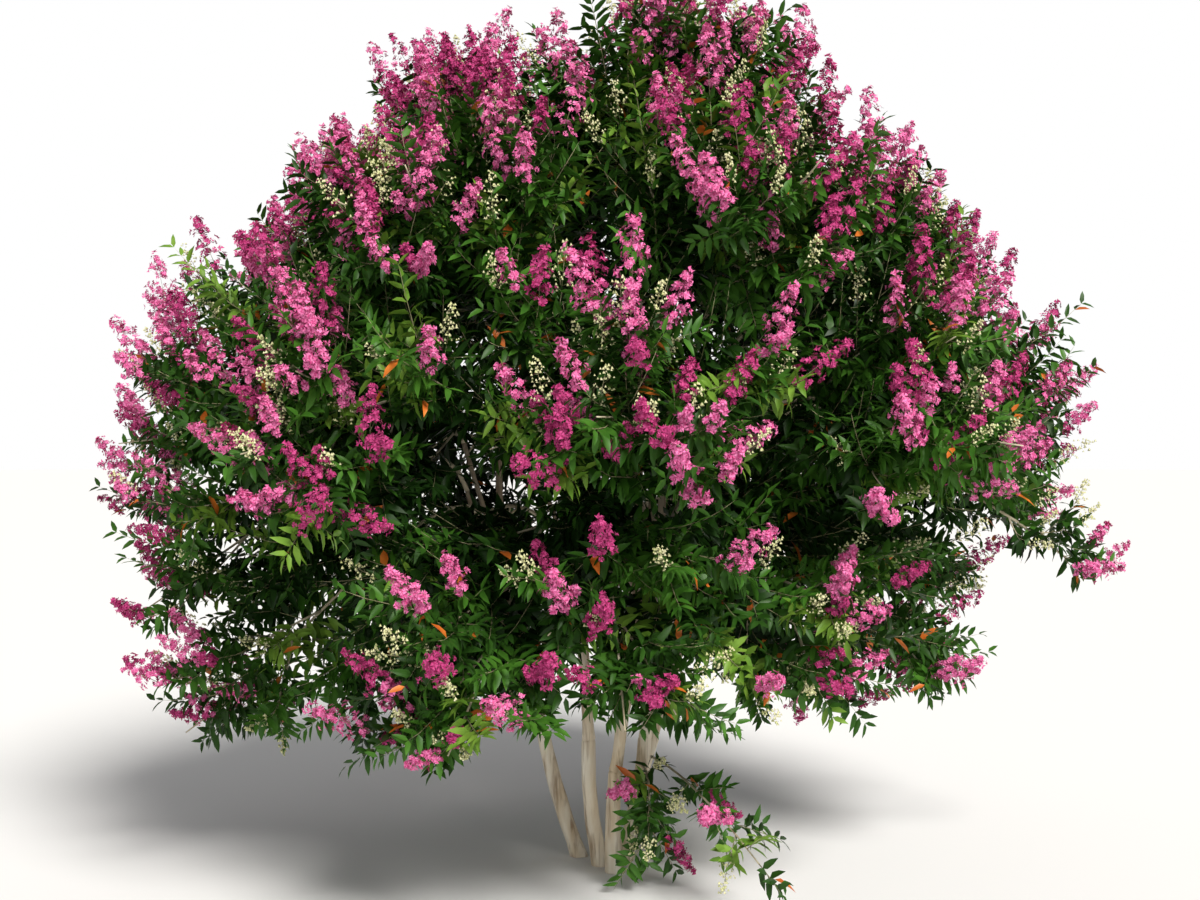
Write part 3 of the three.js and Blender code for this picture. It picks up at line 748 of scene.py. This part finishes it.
def lay_out_leaves():
    """A table of leaves with all that `leaf_shapes` takes, and each leaf's spray. A leaf splays less
    towards the twig's tip, and turns its face up and towards the tip."""
    row, pair, s, is_deep = leaf_pairs()
    count = len(s)
    ripe = 1 - s / twigs["length"][row]
    point, way = on_twig(row, s)
    side = unit(np.cross(way, twigs["upper"][row]))
    over = np.cross(side, way)
    rank = luck.uniform(0, np.pi, len(twigs["spray"]))[row]
    turn = rank + 0.4 * (-1.0) ** pair + vary(count, 0.25)
    pairs = []
    for half_turn in (0, np.pi):
        angle = turn + half_turn + vary(count, 0.2)
        splay = np.radians(38 + 26 * ripe**0.5 + vary(count, 9))
        outward = swing(side, over, angle)
        leaf_way = unit(swing(way, outward, splay))
        flat = np.cross(way, outward)
        flat *= np.sign(flat[:, 2:] + 1e-9)
        light = 0.8 * flat + 0.45 * way + 0.4 * UP + vary((count, 3), 0.25)
        face = unit(light - leaf_way * np.sum(light * leaf_way, axis=1, keepdims=True))
        length = LEAF_LENGTH * (0.7 + 0.36 * np.minimum(1, ripe * 2.2)) * (1 + vary(count, 0.14))
        length *= np.where(is_deep, 1.25, 1)
        pairs.append(dict(spray=twigs["spray"][row], root=point, way=leaf_way, face=face, length=length))
    leaves = {name: np.concatenate([half[name] for half in pairs]) for name in pairs[0]}
    leaves["half_width"] = leaves["length"] * LEAF_WIDTH / LEAF_LENGTH / 2 * (1 + vary(2 * count, 0.12))
    leaves["curl"] = 0.27 + vary(2 * count, 0.16)
    leaves["fold"] = 0.28 + vary(2 * count, 0.12)
    tips = leaves["root"] + leaves["way"] * leaves["length"][:, None]
    owner = sprays["mass"][leaves["spray"]]
    fits = within_bounds(tips, owner, beyond=25, below=25, above_ground=8)
    fits &= clear_of_limbs(leaves["root"], 3) & clear_of_limbs(tips, 1)
    return pick(leaves, fits)


leaves = lay_out_leaves()
print("leaves", len(leaves["spray"]))

# %% [markdown]
# ## Panicles
# A panicle is a cone of small branches round a stalk, and flowers crowd along the outer part of each
# branch. Flowers strewn over a cone would look too smooth, and it is the branches that make the outline
# lumpy. Panicles turn upward. Smaller ones stand close beside many of the large ones, and on the tips of
# side twigs on the outside of the crown. Those in bud are smaller too.

# %% Where the panicles stand
BUD_SIZE = 0.72


def panicles_on(row, foot, way, size):
    """Panicles on twigs, turned up from their ways. Those that would leave the plant's reach are left
    out."""
    owner = sprays["mass"][twigs["spray"][row]]
    way = unit(way + upward[owner])
    tip = foot + way * (PANICLE_LENGTH * size)[:, None]
    fits = within_bounds(tip, owner, beyond=130, below=30, above_ground=12)
    return pick(dict(foot=foot, way=way, size=size), fits)


def panicles_at_tips(wanted):
    """One on the tip of each wanted spray."""
    row = np.flatnonzero(wanted)
    size = (0.97 + vary(len(row), 0.2)) * np.clip(sprays["length"][row] / 300, 0.78, 1.08)
    return panicles_on(row, *on_twig(row, twigs["length"][row]), size)


def small_panicles(wanted, beside_share, side_share):
    """Up to two beside each one on the tips, and some on side twigs on the outside of the crown."""
    row = np.flatnonzero(wanted)
    beside = np.tile(row, 2)[luck.random(2 * len(row)) < beside_share]
    foot, way = on_twig(beside, 0.8 * twigs["length"][beside])
    way = offshoot(way, luck.uniform(0, 360, len(beside)), 38 + vary(len(beside), 8))
    side = np.flatnonzero(~twigs["is_main"] & (luck.random(len(twigs["spray"])) < side_share))
    side_foot, side_way = on_twig(side, twigs["length"][side])
    is_outside = from_heart(side_foot) > 0.86 * reach[sprays["mass"][twigs["spray"][side]]]
    row = np.concatenate([beside, side[is_outside]])
    foot = np.concatenate([foot, side_foot[is_outside]])
    way = np.concatenate([way, side_way[is_outside]])
    return panicles_on(row, foot, way, 0.7 + vary(len(row), 0.14))


blooms = panicles_at_tips(sprays["flowers"])
small_blooms = small_panicles(sprays["flowers"], beside_share=0.3, side_share=0.1)
buds = panicles_at_tips(sprays["buds"])
buds["size"] *= BUD_SIZE
print("panicles", len(blooms["foot"]), "small ones", len(small_blooms["foot"]), "in bud", len(buds["foot"]))

# %% Branches of a panicle
STALK_SHARE = 0.93


def branches_of(panicles, count):
    """The small branches of each panicle, from the stalk to their ends. Each leaves the stalk at a height
    h, turned by the golden angle from the one before, and slopes up. It spans
    R min(1, (h + 0.12) / 0.3) (1 - h)^0.6."""
    shape = (len(panicles["foot"]), count)
    h = (np.arange(count) + 0.5)[None] / count + vary(shape, 0.03)
    span = np.minimum(1, (h + 0.12) / 0.3) * np.clip(1 - h, 0.03, 1) ** 0.6 * (1 + vary(shape, 0.24))
    span *= PANICLE_WIDTH / 2 * panicles["size"][:, None]
    angle = np.radians(GOLDEN_TURN) * np.arange(count)[None] + luck.uniform(0, 2 * np.pi, (shape[0], 1))
    way = panicles["way"][:, None]
    side = offshoot(way, 0, 90)
    outward = swing(side, np.cross(way, side), angle)
    up_stalk = STALK_SHARE * PANICLE_LENGTH * panicles["size"][:, None] * h
    start = panicles["foot"][:, None] + way * up_stalk[..., None]
    return start, start + (outward + 0.4 * way) * (0.9 * span)[..., None]


def clusters(panicles, start, ends, per_branch, scatter):
    """Places along the outer half of each branch, scattered a little, and the way that each one faces."""
    t = np.linspace(0.5, 1.05, per_branch)[:, None]
    away = vary((*ends.shape[:2], per_branch, 3), 1.0) * scatter * panicles["size"][:, None, None, None]
    places = lerp(start[:, :, None], ends[:, :, None], t) + away
    return places, unit(places - start[:, :, None] + 8 * panicles["way"][:, None, None])


# %% [markdown]
# ## Flowers, buds and stalks
# A real flower has six crinkled petals on narrow claws. Here it has four, and each is one tilted triangle,
# narrow at the middle of the flower and broad at the rim. Thousands of them keep the crinkled look and the
# colour for few faces. A bud is a pyramid, and a stalk a long thin one.

# %% Shapes of flowers, buds and stalks
PETALS = 4
RIM_ANGLES = 2 * np.pi * (np.arange(PETALS)[:, None] + np.array([-0.38, 0.38])).ravel() / PETALS
FLOWER_FACES = np.array([(0, 1 + 2 * i, 2 + 2 * i) for i in range(PETALS)])
BEAD_CORNERS = np.array([(0, 0, 1), (0.94, 0, -0.33), (-0.47, 0.82, -0.33), (-0.47, -0.82, -0.33)])
BEAD_FACES = np.array([(0, 1, 2), (0, 2, 3), (0, 3, 1), (1, 3, 2)])
SPIKE_FACES = np.array([(0, 1, 3), (1, 2, 3), (2, 0, 3), (0, 2, 1)])
THREE_ANGLES = 2 * np.pi * np.arange(3)[None, :, None] / 3
FLOWER_RADIUS, BEAD_RADIUS, STALK_RADIUS, BRANCH_RADIUS = 10.2, 5.4, 1.5, 0.9
print("triangles of a flower", len(FLOWER_FACES), "of a bud", len(BEAD_FACES))


def flower_shapes(places, facing):
    """Flowers round a middle point. The two rim points of a petal have distances and heights of their own,
    which tilts it."""
    count = len(places)
    radius = FLOWER_RADIUS * (1 + vary(count, 0.25))[:, None]
    side = offshoot(facing, luck.uniform(0, 360, count), 90)
    over = np.cross(facing, side)
    far = radius * (1 + vary((count, 2 * PETALS), 0.2))
    high = radius * (0.15 + vary((count, 2 * PETALS), 0.5))
    out = far * np.cos(RIM_ANGLES), far * np.sin(RIM_ANGLES), high
    rim = sum(distance[..., None] * axis[:, None] for distance, axis in zip(out, (side, over, facing)))
    return np.concatenate([places[:, None], places[:, None] + rim], axis=1)


def triangle_round(points, way, side, radius):
    """Three corners round each point, at `radius` from it, square to the way."""
    arm = np.cos(THREE_ANGLES) * side[:, None] + np.sin(THREE_ANGLES) * np.cross(way, side)[:, None]
    return points[:, None] + radius * arm


def spikes(start, end, radius):
    """Straight three-sided stalks from start (n, 3) to a point at end (n, 3), closed at the foot."""
    way = unit(end - start)
    foot = triangle_round(start, way, offshoot(way, 0, 90), radius)
    return copies(np.concatenate([foot, end[:, None]], axis=1), SPIKE_FACES)


def stalks_of(panicles, start, ends):
    """A stalk up the middle of each panicle, and one along each branch."""
    up_stalk = STALK_SHARE * PANICLE_LENGTH * panicles["size"]
    tips = panicles["foot"] + panicles["way"] * up_stalk[:, None]
    branches = spikes(start.reshape(-1, 3), ends.reshape(-1, 3), BRANCH_RADIUS)
    return [spikes(panicles["foot"], tips, STALK_RADIUS), branches]


# %% [markdown]
# ## Finishes
# Shader maths is easier to read as plain maths, so a small class holds one socket and turns * into a Math
# node, and one method makes every other node. The colours of leaves and blossom are dealt out by spray, one
# finish to a piece, with only a soft variation inside each.

# %% A small class for shader sums
class Flow:
    """What comes out of a shader socket. A product with it adds a Math node."""

    def __init__(self, finish, socket):
        self.finish, self.socket = finish, socket

    def __mul__(self, other):
        return self.finish.node("ShaderNodeMath", {"operation": "MULTIPLY"}, {0: self, 1: other})

    __rmul__ = __mul__


class Finish:
    """A material and its node tree."""

    def __init__(self, name, **fixed):
        self.material = bpy.data.materials.new(name)
        self.material.use_nodes = True
        self.tree = self.material.node_tree
        self.shader = self.tree.nodes["Principled BSDF"]
        for socket, value in fixed.items():
            self.shader.inputs[socket.replace("_", " ")].default_value = value
        self.place = self.node("ShaderNodeTexCoord", output="Object")

    def node(self, kind, settings=None, inputs=None, output=0):
        """Adds a node: its settings first, then what its sockets take. Gives its output as a Flow."""
        node = self.tree.nodes.new(kind)
        for name, value in (settings or {}).items():
            setattr(node, name, value)
        for name, value in (inputs or {}).items():
            self.feed(node.inputs[name], value)
        return Flow(self, node.outputs[output])

    def feed(self, socket, value):
        """Links a Flow to a socket, or sets the socket to a plain value."""
        if isinstance(value, Flow):
            self.tree.links.new(value.socket, socket)
        else:
            socket.default_value = value

    def noise(self, scale, detail=2.0, place=None):
        """Cloudy noise from 0 to 1, with about `scale` clouds to the metre."""
        inputs = {"Vector": place or self.place, "Scale": scale, "Detail": detail}
        return self.node("ShaderNodeTexNoise", inputs=inputs)

    def mix(self, a, b, factor):
        """Colour a where the factor is 0 and b where it is 1."""
        return self.node("ShaderNodeMix", {"data_type": "RGBA"}, {0: factor, 6: a, 7: b}, output=2)

    def stretch(self, scale):
        """The place on the object, drawn out along an axis by a Mapping node."""
        return self.node("ShaderNodeMapping", inputs={"Vector": self.place, "Scale": scale})

    def steps(self, flow, low, high):
        """0 below `low`, 1 above `high`, and a straight slope between."""
        return self.node("ShaderNodeMapRange", inputs={"Value": flow, "From Min": low, "From Max": high})

    def bump(self, height, distance, strength):
        inputs = {"Height": height, "Distance": distance, "Strength": strength}
        return self.node("ShaderNodeBump", inputs=inputs)


def rgb(red, green, blue):
    """A colour picked on screen, 0 to 255, as the linear numbers that a shader takes."""
    share = np.array([red, green, blue]) / 255
    linear = np.where(share <= 0.04045, share / 12.92, ((share + 0.055) / 1.055) ** 2.4)
    return (*linear.tolist(), 1.0)


# %% Leaf, blossom, bud and twig finishes
def two_tone(name, dark, light, scale, **fixed):
    """A finish whose colour drifts between two near tones in soft patches about `1 / scale` metres wide."""
    finish = Finish(name, **fixed)
    patches = finish.steps(finish.noise(scale), 0.35, 0.65)
    finish.feed(finish.shader.inputs["Base Color"], finish.mix(dark, light, patches))
    return finish.material


LEAF = {"scale": 14.0, "Roughness": 0.42, "Specular_IOR_Level": 0.18}
# The next finish is painted shade: a darker green for the deep green leaves inside the crown, where the crown
# shades them.
leaf_painted_shade = two_tone("leaf_painted_shade", rgb(19, 42, 10), rgb(30, 60, 16), **LEAF)
leaf_deep = two_tone("leaf_deep", rgb(31, 60, 16), rgb(45, 82, 24), **LEAF)
leaf_mid = two_tone("leaf_mid", rgb(46, 87, 24), rgb(66, 110, 35), **LEAF)
leaf_young = two_tone("leaf_young", rgb(84, 120, 38), rgb(112, 146, 54), **LEAF)
leaf_autumn = two_tone("leaf_autumn", rgb(184, 88, 24), rgb(214, 122, 44), 20.0, Roughness=0.5)
PETAL = {"scale": 130.0, "Roughness": 0.75, "Specular_IOR_Level": 0.15}
blossom_bright = two_tone("blossom_bright", rgb(186, 56, 116), rgb(232, 134, 184), **PETAL)
blossom_deep = two_tone("blossom_deep", rgb(146, 28, 84), rgb(198, 78, 136), **PETAL)
bud_skin = two_tone("bud_skin", rgb(192, 196, 132), rgb(234, 230, 188), 60.0, Roughness=0.6)
twig_green = two_tone("twig_green", rgb(124, 122, 86), rgb(164, 156, 122), 30.0, Roughness=0.65)
twig_pale = two_tone("twig_pale", rgb(164, 152, 124), rgb(200, 190, 164), 12.0, Roughness=0.75)
print("finishes", len(bpy.data.materials))

# %% [markdown]
# ## Leaves into pieces
# Each spray takes one colour of leaf: deep green inside, fresher green outside, and yellow-green on young
# sprays. Tones dealt out leaf by leaf would look like confetti. Only here and there has one leaf turned
# orange. The deep green leaves inside the crown are darker still: painted shade, for the shade that the
# crown casts on its own inside. A piece holds under two hundred thousand triangles.

# %% Make the leaves
MOST_TRIANGLES = 190000
DEEP, MID, YOUNG, AUTUMN = range(4)
YOUNG_SHARE, AUTUMN_SHARE, AUTUMN_SIZE = 0.09, 0.012, 1.2
OUTER_FROM = 0.76
LEAF_KINDS = (
    ("", FOLDED_CORNERS, FOLDED_FACES),
    ("_inner", PLAIN_CORNERS, PLAIN_FACES),
    ("_inmost", KITE_CORNERS, KITE_FACES),
)


def in_pieces(name, shapes, faces, material, slot):
    """Many copies of one small shape, as few pieces as the limit allows."""
    most = MOST_TRIANGLES // len(faces)
    for part in range(0, len(shapes), most):
        ending = f"_{part // most + 1}" if len(shapes) > most else ""
        piece_of(name + ending, *copies(shapes[part : part + most], faces), material, slot)


def deal_out_tones():
    """A tone for each leaf, by its spray. A leaf that has turned is larger, so that it shows."""
    draw = luck.random(len(outness))
    is_young = (draw < YOUNG_SHARE) & (outness > 0.55)
    is_mid = ~is_young & (draw < 0.2 + 0.35 * np.clip(outness, 0, 1))
    tone = np.where(is_young, YOUNG, np.where(is_mid, MID, DEEP))[leaves["spray"]]
    has_turned = luck.random(len(tone)) < AUTUMN_SHARE * outness[leaves["spray"]]
    tone[has_turned] = AUTUMN
    for measure in ("length", "half_width"):
        leaves[measure][has_turned] *= AUTUMN_SIZE
    return tone


def make_leaves():
    """One piece for each tone and kind of leaf. The kind follows from how far out the leaf stands."""
    tone = deal_out_tones()
    owner = sprays["mass"][leaves["spray"]]
    is_outer = (from_heart(leaves["root"]) / reach[owner] > OUTER_FROM) | (tone > MID) | is_low[owner]
    is_inmost = ~is_outer & (outness[leaves["spray"]] < LEAF_DEEP_INSIDE)
    kind = np.where(is_outer, 0, np.where(is_inmost, 2, 1))
    # Deep green leaves further in take the darker finish, which paints the shade of the crown's inside into
    # their colour.
    for name, wanted, material, inner_material, slot in (
        ("leaves_deep", DEEP, leaf_deep, leaf_painted_shade, "foliage"),
        ("leaves_mid", MID, leaf_mid, leaf_mid, "foliage"),
        ("leaves_young", YOUNG, leaf_young, leaf_young, "young_leaves"),
        ("leaves_autumn", AUTUMN, leaf_autumn, leaf_autumn, "autumn_leaves"),
    ):
        for i, (ending, corners, faces) in enumerate(LEAF_KINDS):
            chosen = (tone == wanted) & (kind == i)
            if chosen.any():
                shapes = leaf_shapes(pick(leaves, chosen), corners)
                in_pieces(name + ending, shapes, faces, inner_material if ending else material, slot)


make_leaves()

# %% [markdown]
# ## Blossom and buds into pieces
# Most panicles are bright, some a deeper pink. The tone is one for a whole panicle, as its flowers open
# together. The ones still in bud are pale beads on fine green branches.

# %% Make the blossom and the buds
BRANCHES, SMALL_BRANCHES, BUD_BRANCHES = 18, 11, 14
FLOWERS_ON_BRANCH, BUDS_ON_BRANCH = 5, 4
FLOWER_SCATTER, BUD_SCATTER = 10.5, 12.0
DEEP_PINK_SHARE = 0.4


def make_blossom():
    """Flowers along the branches, in one of two tones for a panicle. Gives the stalks."""
    flowers, stalks = {"bright": [], "deep": []}, []
    for panicles, count in ((blooms, BRANCHES), (small_blooms, SMALL_BRANCHES)):
        is_deep = luck.random(len(panicles["foot"])) < DEEP_PINK_SHARE
        start, ends = branches_of(panicles, count)
        places, facing = clusters(panicles, start, ends, FLOWERS_ON_BRANCH, FLOWER_SCATTER)
        for tone, chosen in (("bright", ~is_deep), ("deep", is_deep)):
            spots, ways = places[chosen].reshape(-1, 3), facing[chosen].reshape(-1, 3)
            flowers[tone].append(flower_shapes(spots, ways))
        stalks += stalks_of(panicles, start[:, ::4], ends[:, ::4])
    in_pieces("blossom_bright", np.concatenate(flowers["bright"]), FLOWER_FACES, blossom_bright, "blossom")
    in_pieces("blossom_deep", np.concatenate(flowers["deep"]), FLOWER_FACES, blossom_deep, "blossom")
    return join(*stalks)


def make_buds():
    """Beads along the branches. Gives the stalks."""
    start, ends = branches_of(buds, BUD_BRANCHES)
    places, _ = clusters(buds, start, ends, BUDS_ON_BRANCH, BUD_SCATTER)
    places = places.reshape(-1, 3)
    radius = BEAD_RADIUS * (1 + vary(len(places), 0.3))
    in_pieces("buds", places[:, None] + BEAD_CORNERS * radius[:, None, None], BEAD_FACES, bud_skin, "buds")
    return join(*stalks_of(buds, start, ends))


blossom_stalks = make_blossom()
bud_stalks = make_buds()

# %% [markdown]
# ## Twigs into pieces
# The twigs of the sprays are green, thinner than a pencil and three-sided, as nothing more would show.
# The leaders and shoots that carry them are paler, rounder and thicker, and show as light lines inside the
# crown.

# %% Make the twigs
LEADER_TIP, LOW_LEADER_RADII = 4.0, (5.0, 2.4)
LEADER_SIDES, SHOOT_SIDES = 7, 5


def curved_twigs(row):
    """Three-sided twigs with three rings and a pointed tip."""
    marks = (0, 0.4, 0.8)
    side = offshoot(twigs["heading"][row], 0, 90)
    rings = []
    for mark in marks:
        point, way = on_twig(row, mark * twigs["length"][row])
        rings.append(triangle_round(point, way, side, TWIG_RADIUS * (1 - 0.5 * mark)))
    tips, _ = on_twig(row, twigs["length"][row])
    walls = [
        (low + j, low + k, low + k + 3, low + j, low + k + 3, low + j + 3)
        for low in (0, 3)
        for j, k in ((0, 1), (1, 2), (2, 0))
    ]
    ends = [(6, 7, 9), (7, 8, 9), (8, 6, 9), (0, 2, 1)]
    faces = np.concatenate([np.reshape(walls, (-1, 3)), ends])
    return copies(np.concatenate([*rings, tips[:, None]], axis=1), faces)


def tapered(paths, foot_radius, tip_radius, sides):
    """Round twigs along curves, thinner towards their tips."""
    marks = np.linspace(0, 1, 9)
    return limbs_along(paths, marks, np.tile(lerp(foot_radius, tip_radius, marks), (len(paths), 1)), sides)


# %% Twigs of the sprays, and the limbs that carry them
def make_twigs():
    """Green twigs with the stalks of the panicles, and the pale leaders and shoots."""
    short = np.flatnonzero(~twigs["is_main"])
    side_twigs = spikes(twigs["root"][short], on_twig(short, twigs["length"][short])[0], SIDE_TWIG_RADIUS)
    main_twigs = curved_twigs(np.flatnonzero(twigs["is_main"]))
    piece_of("twigs_green", *join(main_twigs, side_twigs, blossom_stalks, bud_stalks), twig_green, "twigs")
    carriers = join(
        tapered(leaders[~is_low], BOUGH_TIP, LEADER_TIP, LEADER_SIDES),
        tapered(leaders[is_low], *LOW_LEADER_RADII, LEADER_SIDES),
        tapered(shoot_path[~is_low[shoot_mass]], *SHOOT_RADII, SHOOT_SIDES),
    )
    piece_of("twigs_pale", *carriers, twig_pale, "twigs")


make_twigs()
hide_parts(*[f"foliage_{mass['name']}" for mass in masses])

# %% [markdown]
# ## Bark
# Crape myrtle sheds its bark and is left smooth, pale and sinewy: long shallow flutes run up the stems,
# with low swellings, and brown stains that run down. The flutes show in the outline, so they are real
# relief in the mesh. The grain doesn't, so a bump is enough for it.

# %% Stems and boughs with relief
STEM_STEP, STEM_SIDES = 7, 40
BOUGH_STEP, BOUGH_SIDES, BOUGH_COLLAR = 20, 12, 0.22


def relief(marks, angle, length, seed):
    """How far the bark stands out, in shares of the radius: three long flutes that wander up the limb, and
    low swellings, as sums of sines. The result is (marks, angles)."""
    up, angle = (marks * length)[:, None], angle[None]
    drift = seed + 0.6 * np.sin(up / 160 + seed)
    flutes = 0.045 * np.sin(3 * angle + 2 * drift) + 0.03 * np.sin(5 * angle - 3 * drift + seed)
    swell = 0.035 * np.sin(up / 55 + 2 * angle + 5 * seed) + 0.02 * np.sin(up / 23 - angle + seed)
    return flutes + swell


def marks_along(path, step):
    """Evenly spaced marks about `step` mm apart, and the curve's length."""
    line = point_on(path, np.linspace(0, 1, 33))
    length = np.linalg.norm(np.diff(line, axis=0), axis=1).sum()
    return np.linspace(0, 1, max(6, int(length / step))), length


def bark_limb(path, marks, length, radii, sides, seed, is_level=False, collar=0.0):
    """One limb with relief. A stem's first ring lies level on the ground, and a bough has a collar where it
    leaves its parent."""
    angle = 2 * np.pi * np.arange(sides) / sides
    radii = radii[:, None] * (1 + relief(marks, angle, length, seed))
    radii *= 1 + collar * np.exp(-marks * length / 35)[:, None]
    headings = heading_on(path, marks)
    if is_level:
        headings = unit(lerp(UP, headings, np.clip(marks * 6, 0, 1)[:, None]))
    normal = unit(np.cross(heading_on(path, 0.0), heading_on(path, 1.0)))
    across = unit(normal - headings * (headings @ normal)[:, None])
    over = np.cross(headings, across)
    return rings_to_limbs(point_on(path, marks)[None], across[None], over[None], radii[None], sides)


# %% All stems and boughs
def make_bark():
    """The stems, whose tips are rounded off, then the boughs."""
    limbs = []
    for i, (name, stem) in enumerate(STEMS.items()):
        marks, length = marks_along(stem["path"], STEM_STEP)
        rounding = np.sqrt(np.clip(1 - ((marks - 0.94) / 0.06).clip(0) ** 2, 0.02, 1))
        radii = stem_radius(name, marks) * rounding
        seed = 1.7 * i + 0.4
        limbs.append(bark_limb(stem["path"], marks, length, radii, STEM_SIDES, seed, is_level=True))
    for i, mass in enumerate(crown):
        marks, length = marks_along(mass["path"], BOUGH_STEP)
        radii = lerp(mass["radius"], BOUGH_TIP, marks)
        seed = 2.3 * i + 1.1
        limbs.append(bark_limb(mass["path"], marks, length, radii, BOUGH_SIDES, seed, collar=BOUGH_COLLAR))
    return join(*limbs)


# %% Bark finish, and the limbs in it
def bark_finish():
    """Cream with tan patches, brown stains drawn out along the grain, and a fine streaky bump. From 0.45 m
    up to 0.9 m, over the forks and the boughs, the bark turns darker and browner."""
    finish = Finish("bark", Roughness=0.72, Specular_IOR_Level=0.3)
    tall = finish.stretch((1.0, 1.0, 0.22))
    taller = finish.stretch((1.0, 1.0, 0.09))
    patch = finish.steps(finish.noise(16, detail=4, place=tall), 0.38, 0.68)
    streak = finish.steps(finish.noise(52, detail=5, place=taller), 0.5, 0.68)
    height = finish.node("ShaderNodeSeparateXYZ", inputs={"Vector": finish.place}, output="Z")
    colour = finish.mix(rgb(214, 196, 166), rgb(246, 240, 224), patch)
    colour = finish.mix(colour, rgb(128, 98, 66), streak * 0.7)
    colour = finish.mix(colour, rgb(112, 96, 76), finish.steps(height, 0.45, 0.9) * 0.8)
    finish.feed(finish.shader.inputs["Base Color"], colour)
    grain = finish.noise(150, detail=6, place=tall)
    finish.feed(finish.shader.inputs["Normal"], finish.bump(grain, distance=0.0012, strength=0.6))
    return finish.material


stems_and_boughs = piece_of("stems_and_boughs", *make_bark(), bark_finish(), "bark")
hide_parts(*STEMS, *[f"bough_{mass['name']}" for mass in crown])

# %% [markdown]
# ## Floor
# One pale sheet, round and so wide that its edge is lost in the pale sky. It isn't part of the plant.

# %% Floor
floor_finish = Finish("floor", Roughness=0.9)
floor_finish.shader.inputs["Base Color"].default_value = (0.9, 0.9, 0.9, 1)
bpy.ops.mesh.primitive_circle_add(vertices=96, radius=120, fill_type="NGON", location=(0, 0, 0))
floor = bpy.context.object
floor.name = "floor"
floor.data.materials.append(floor_finish.material)
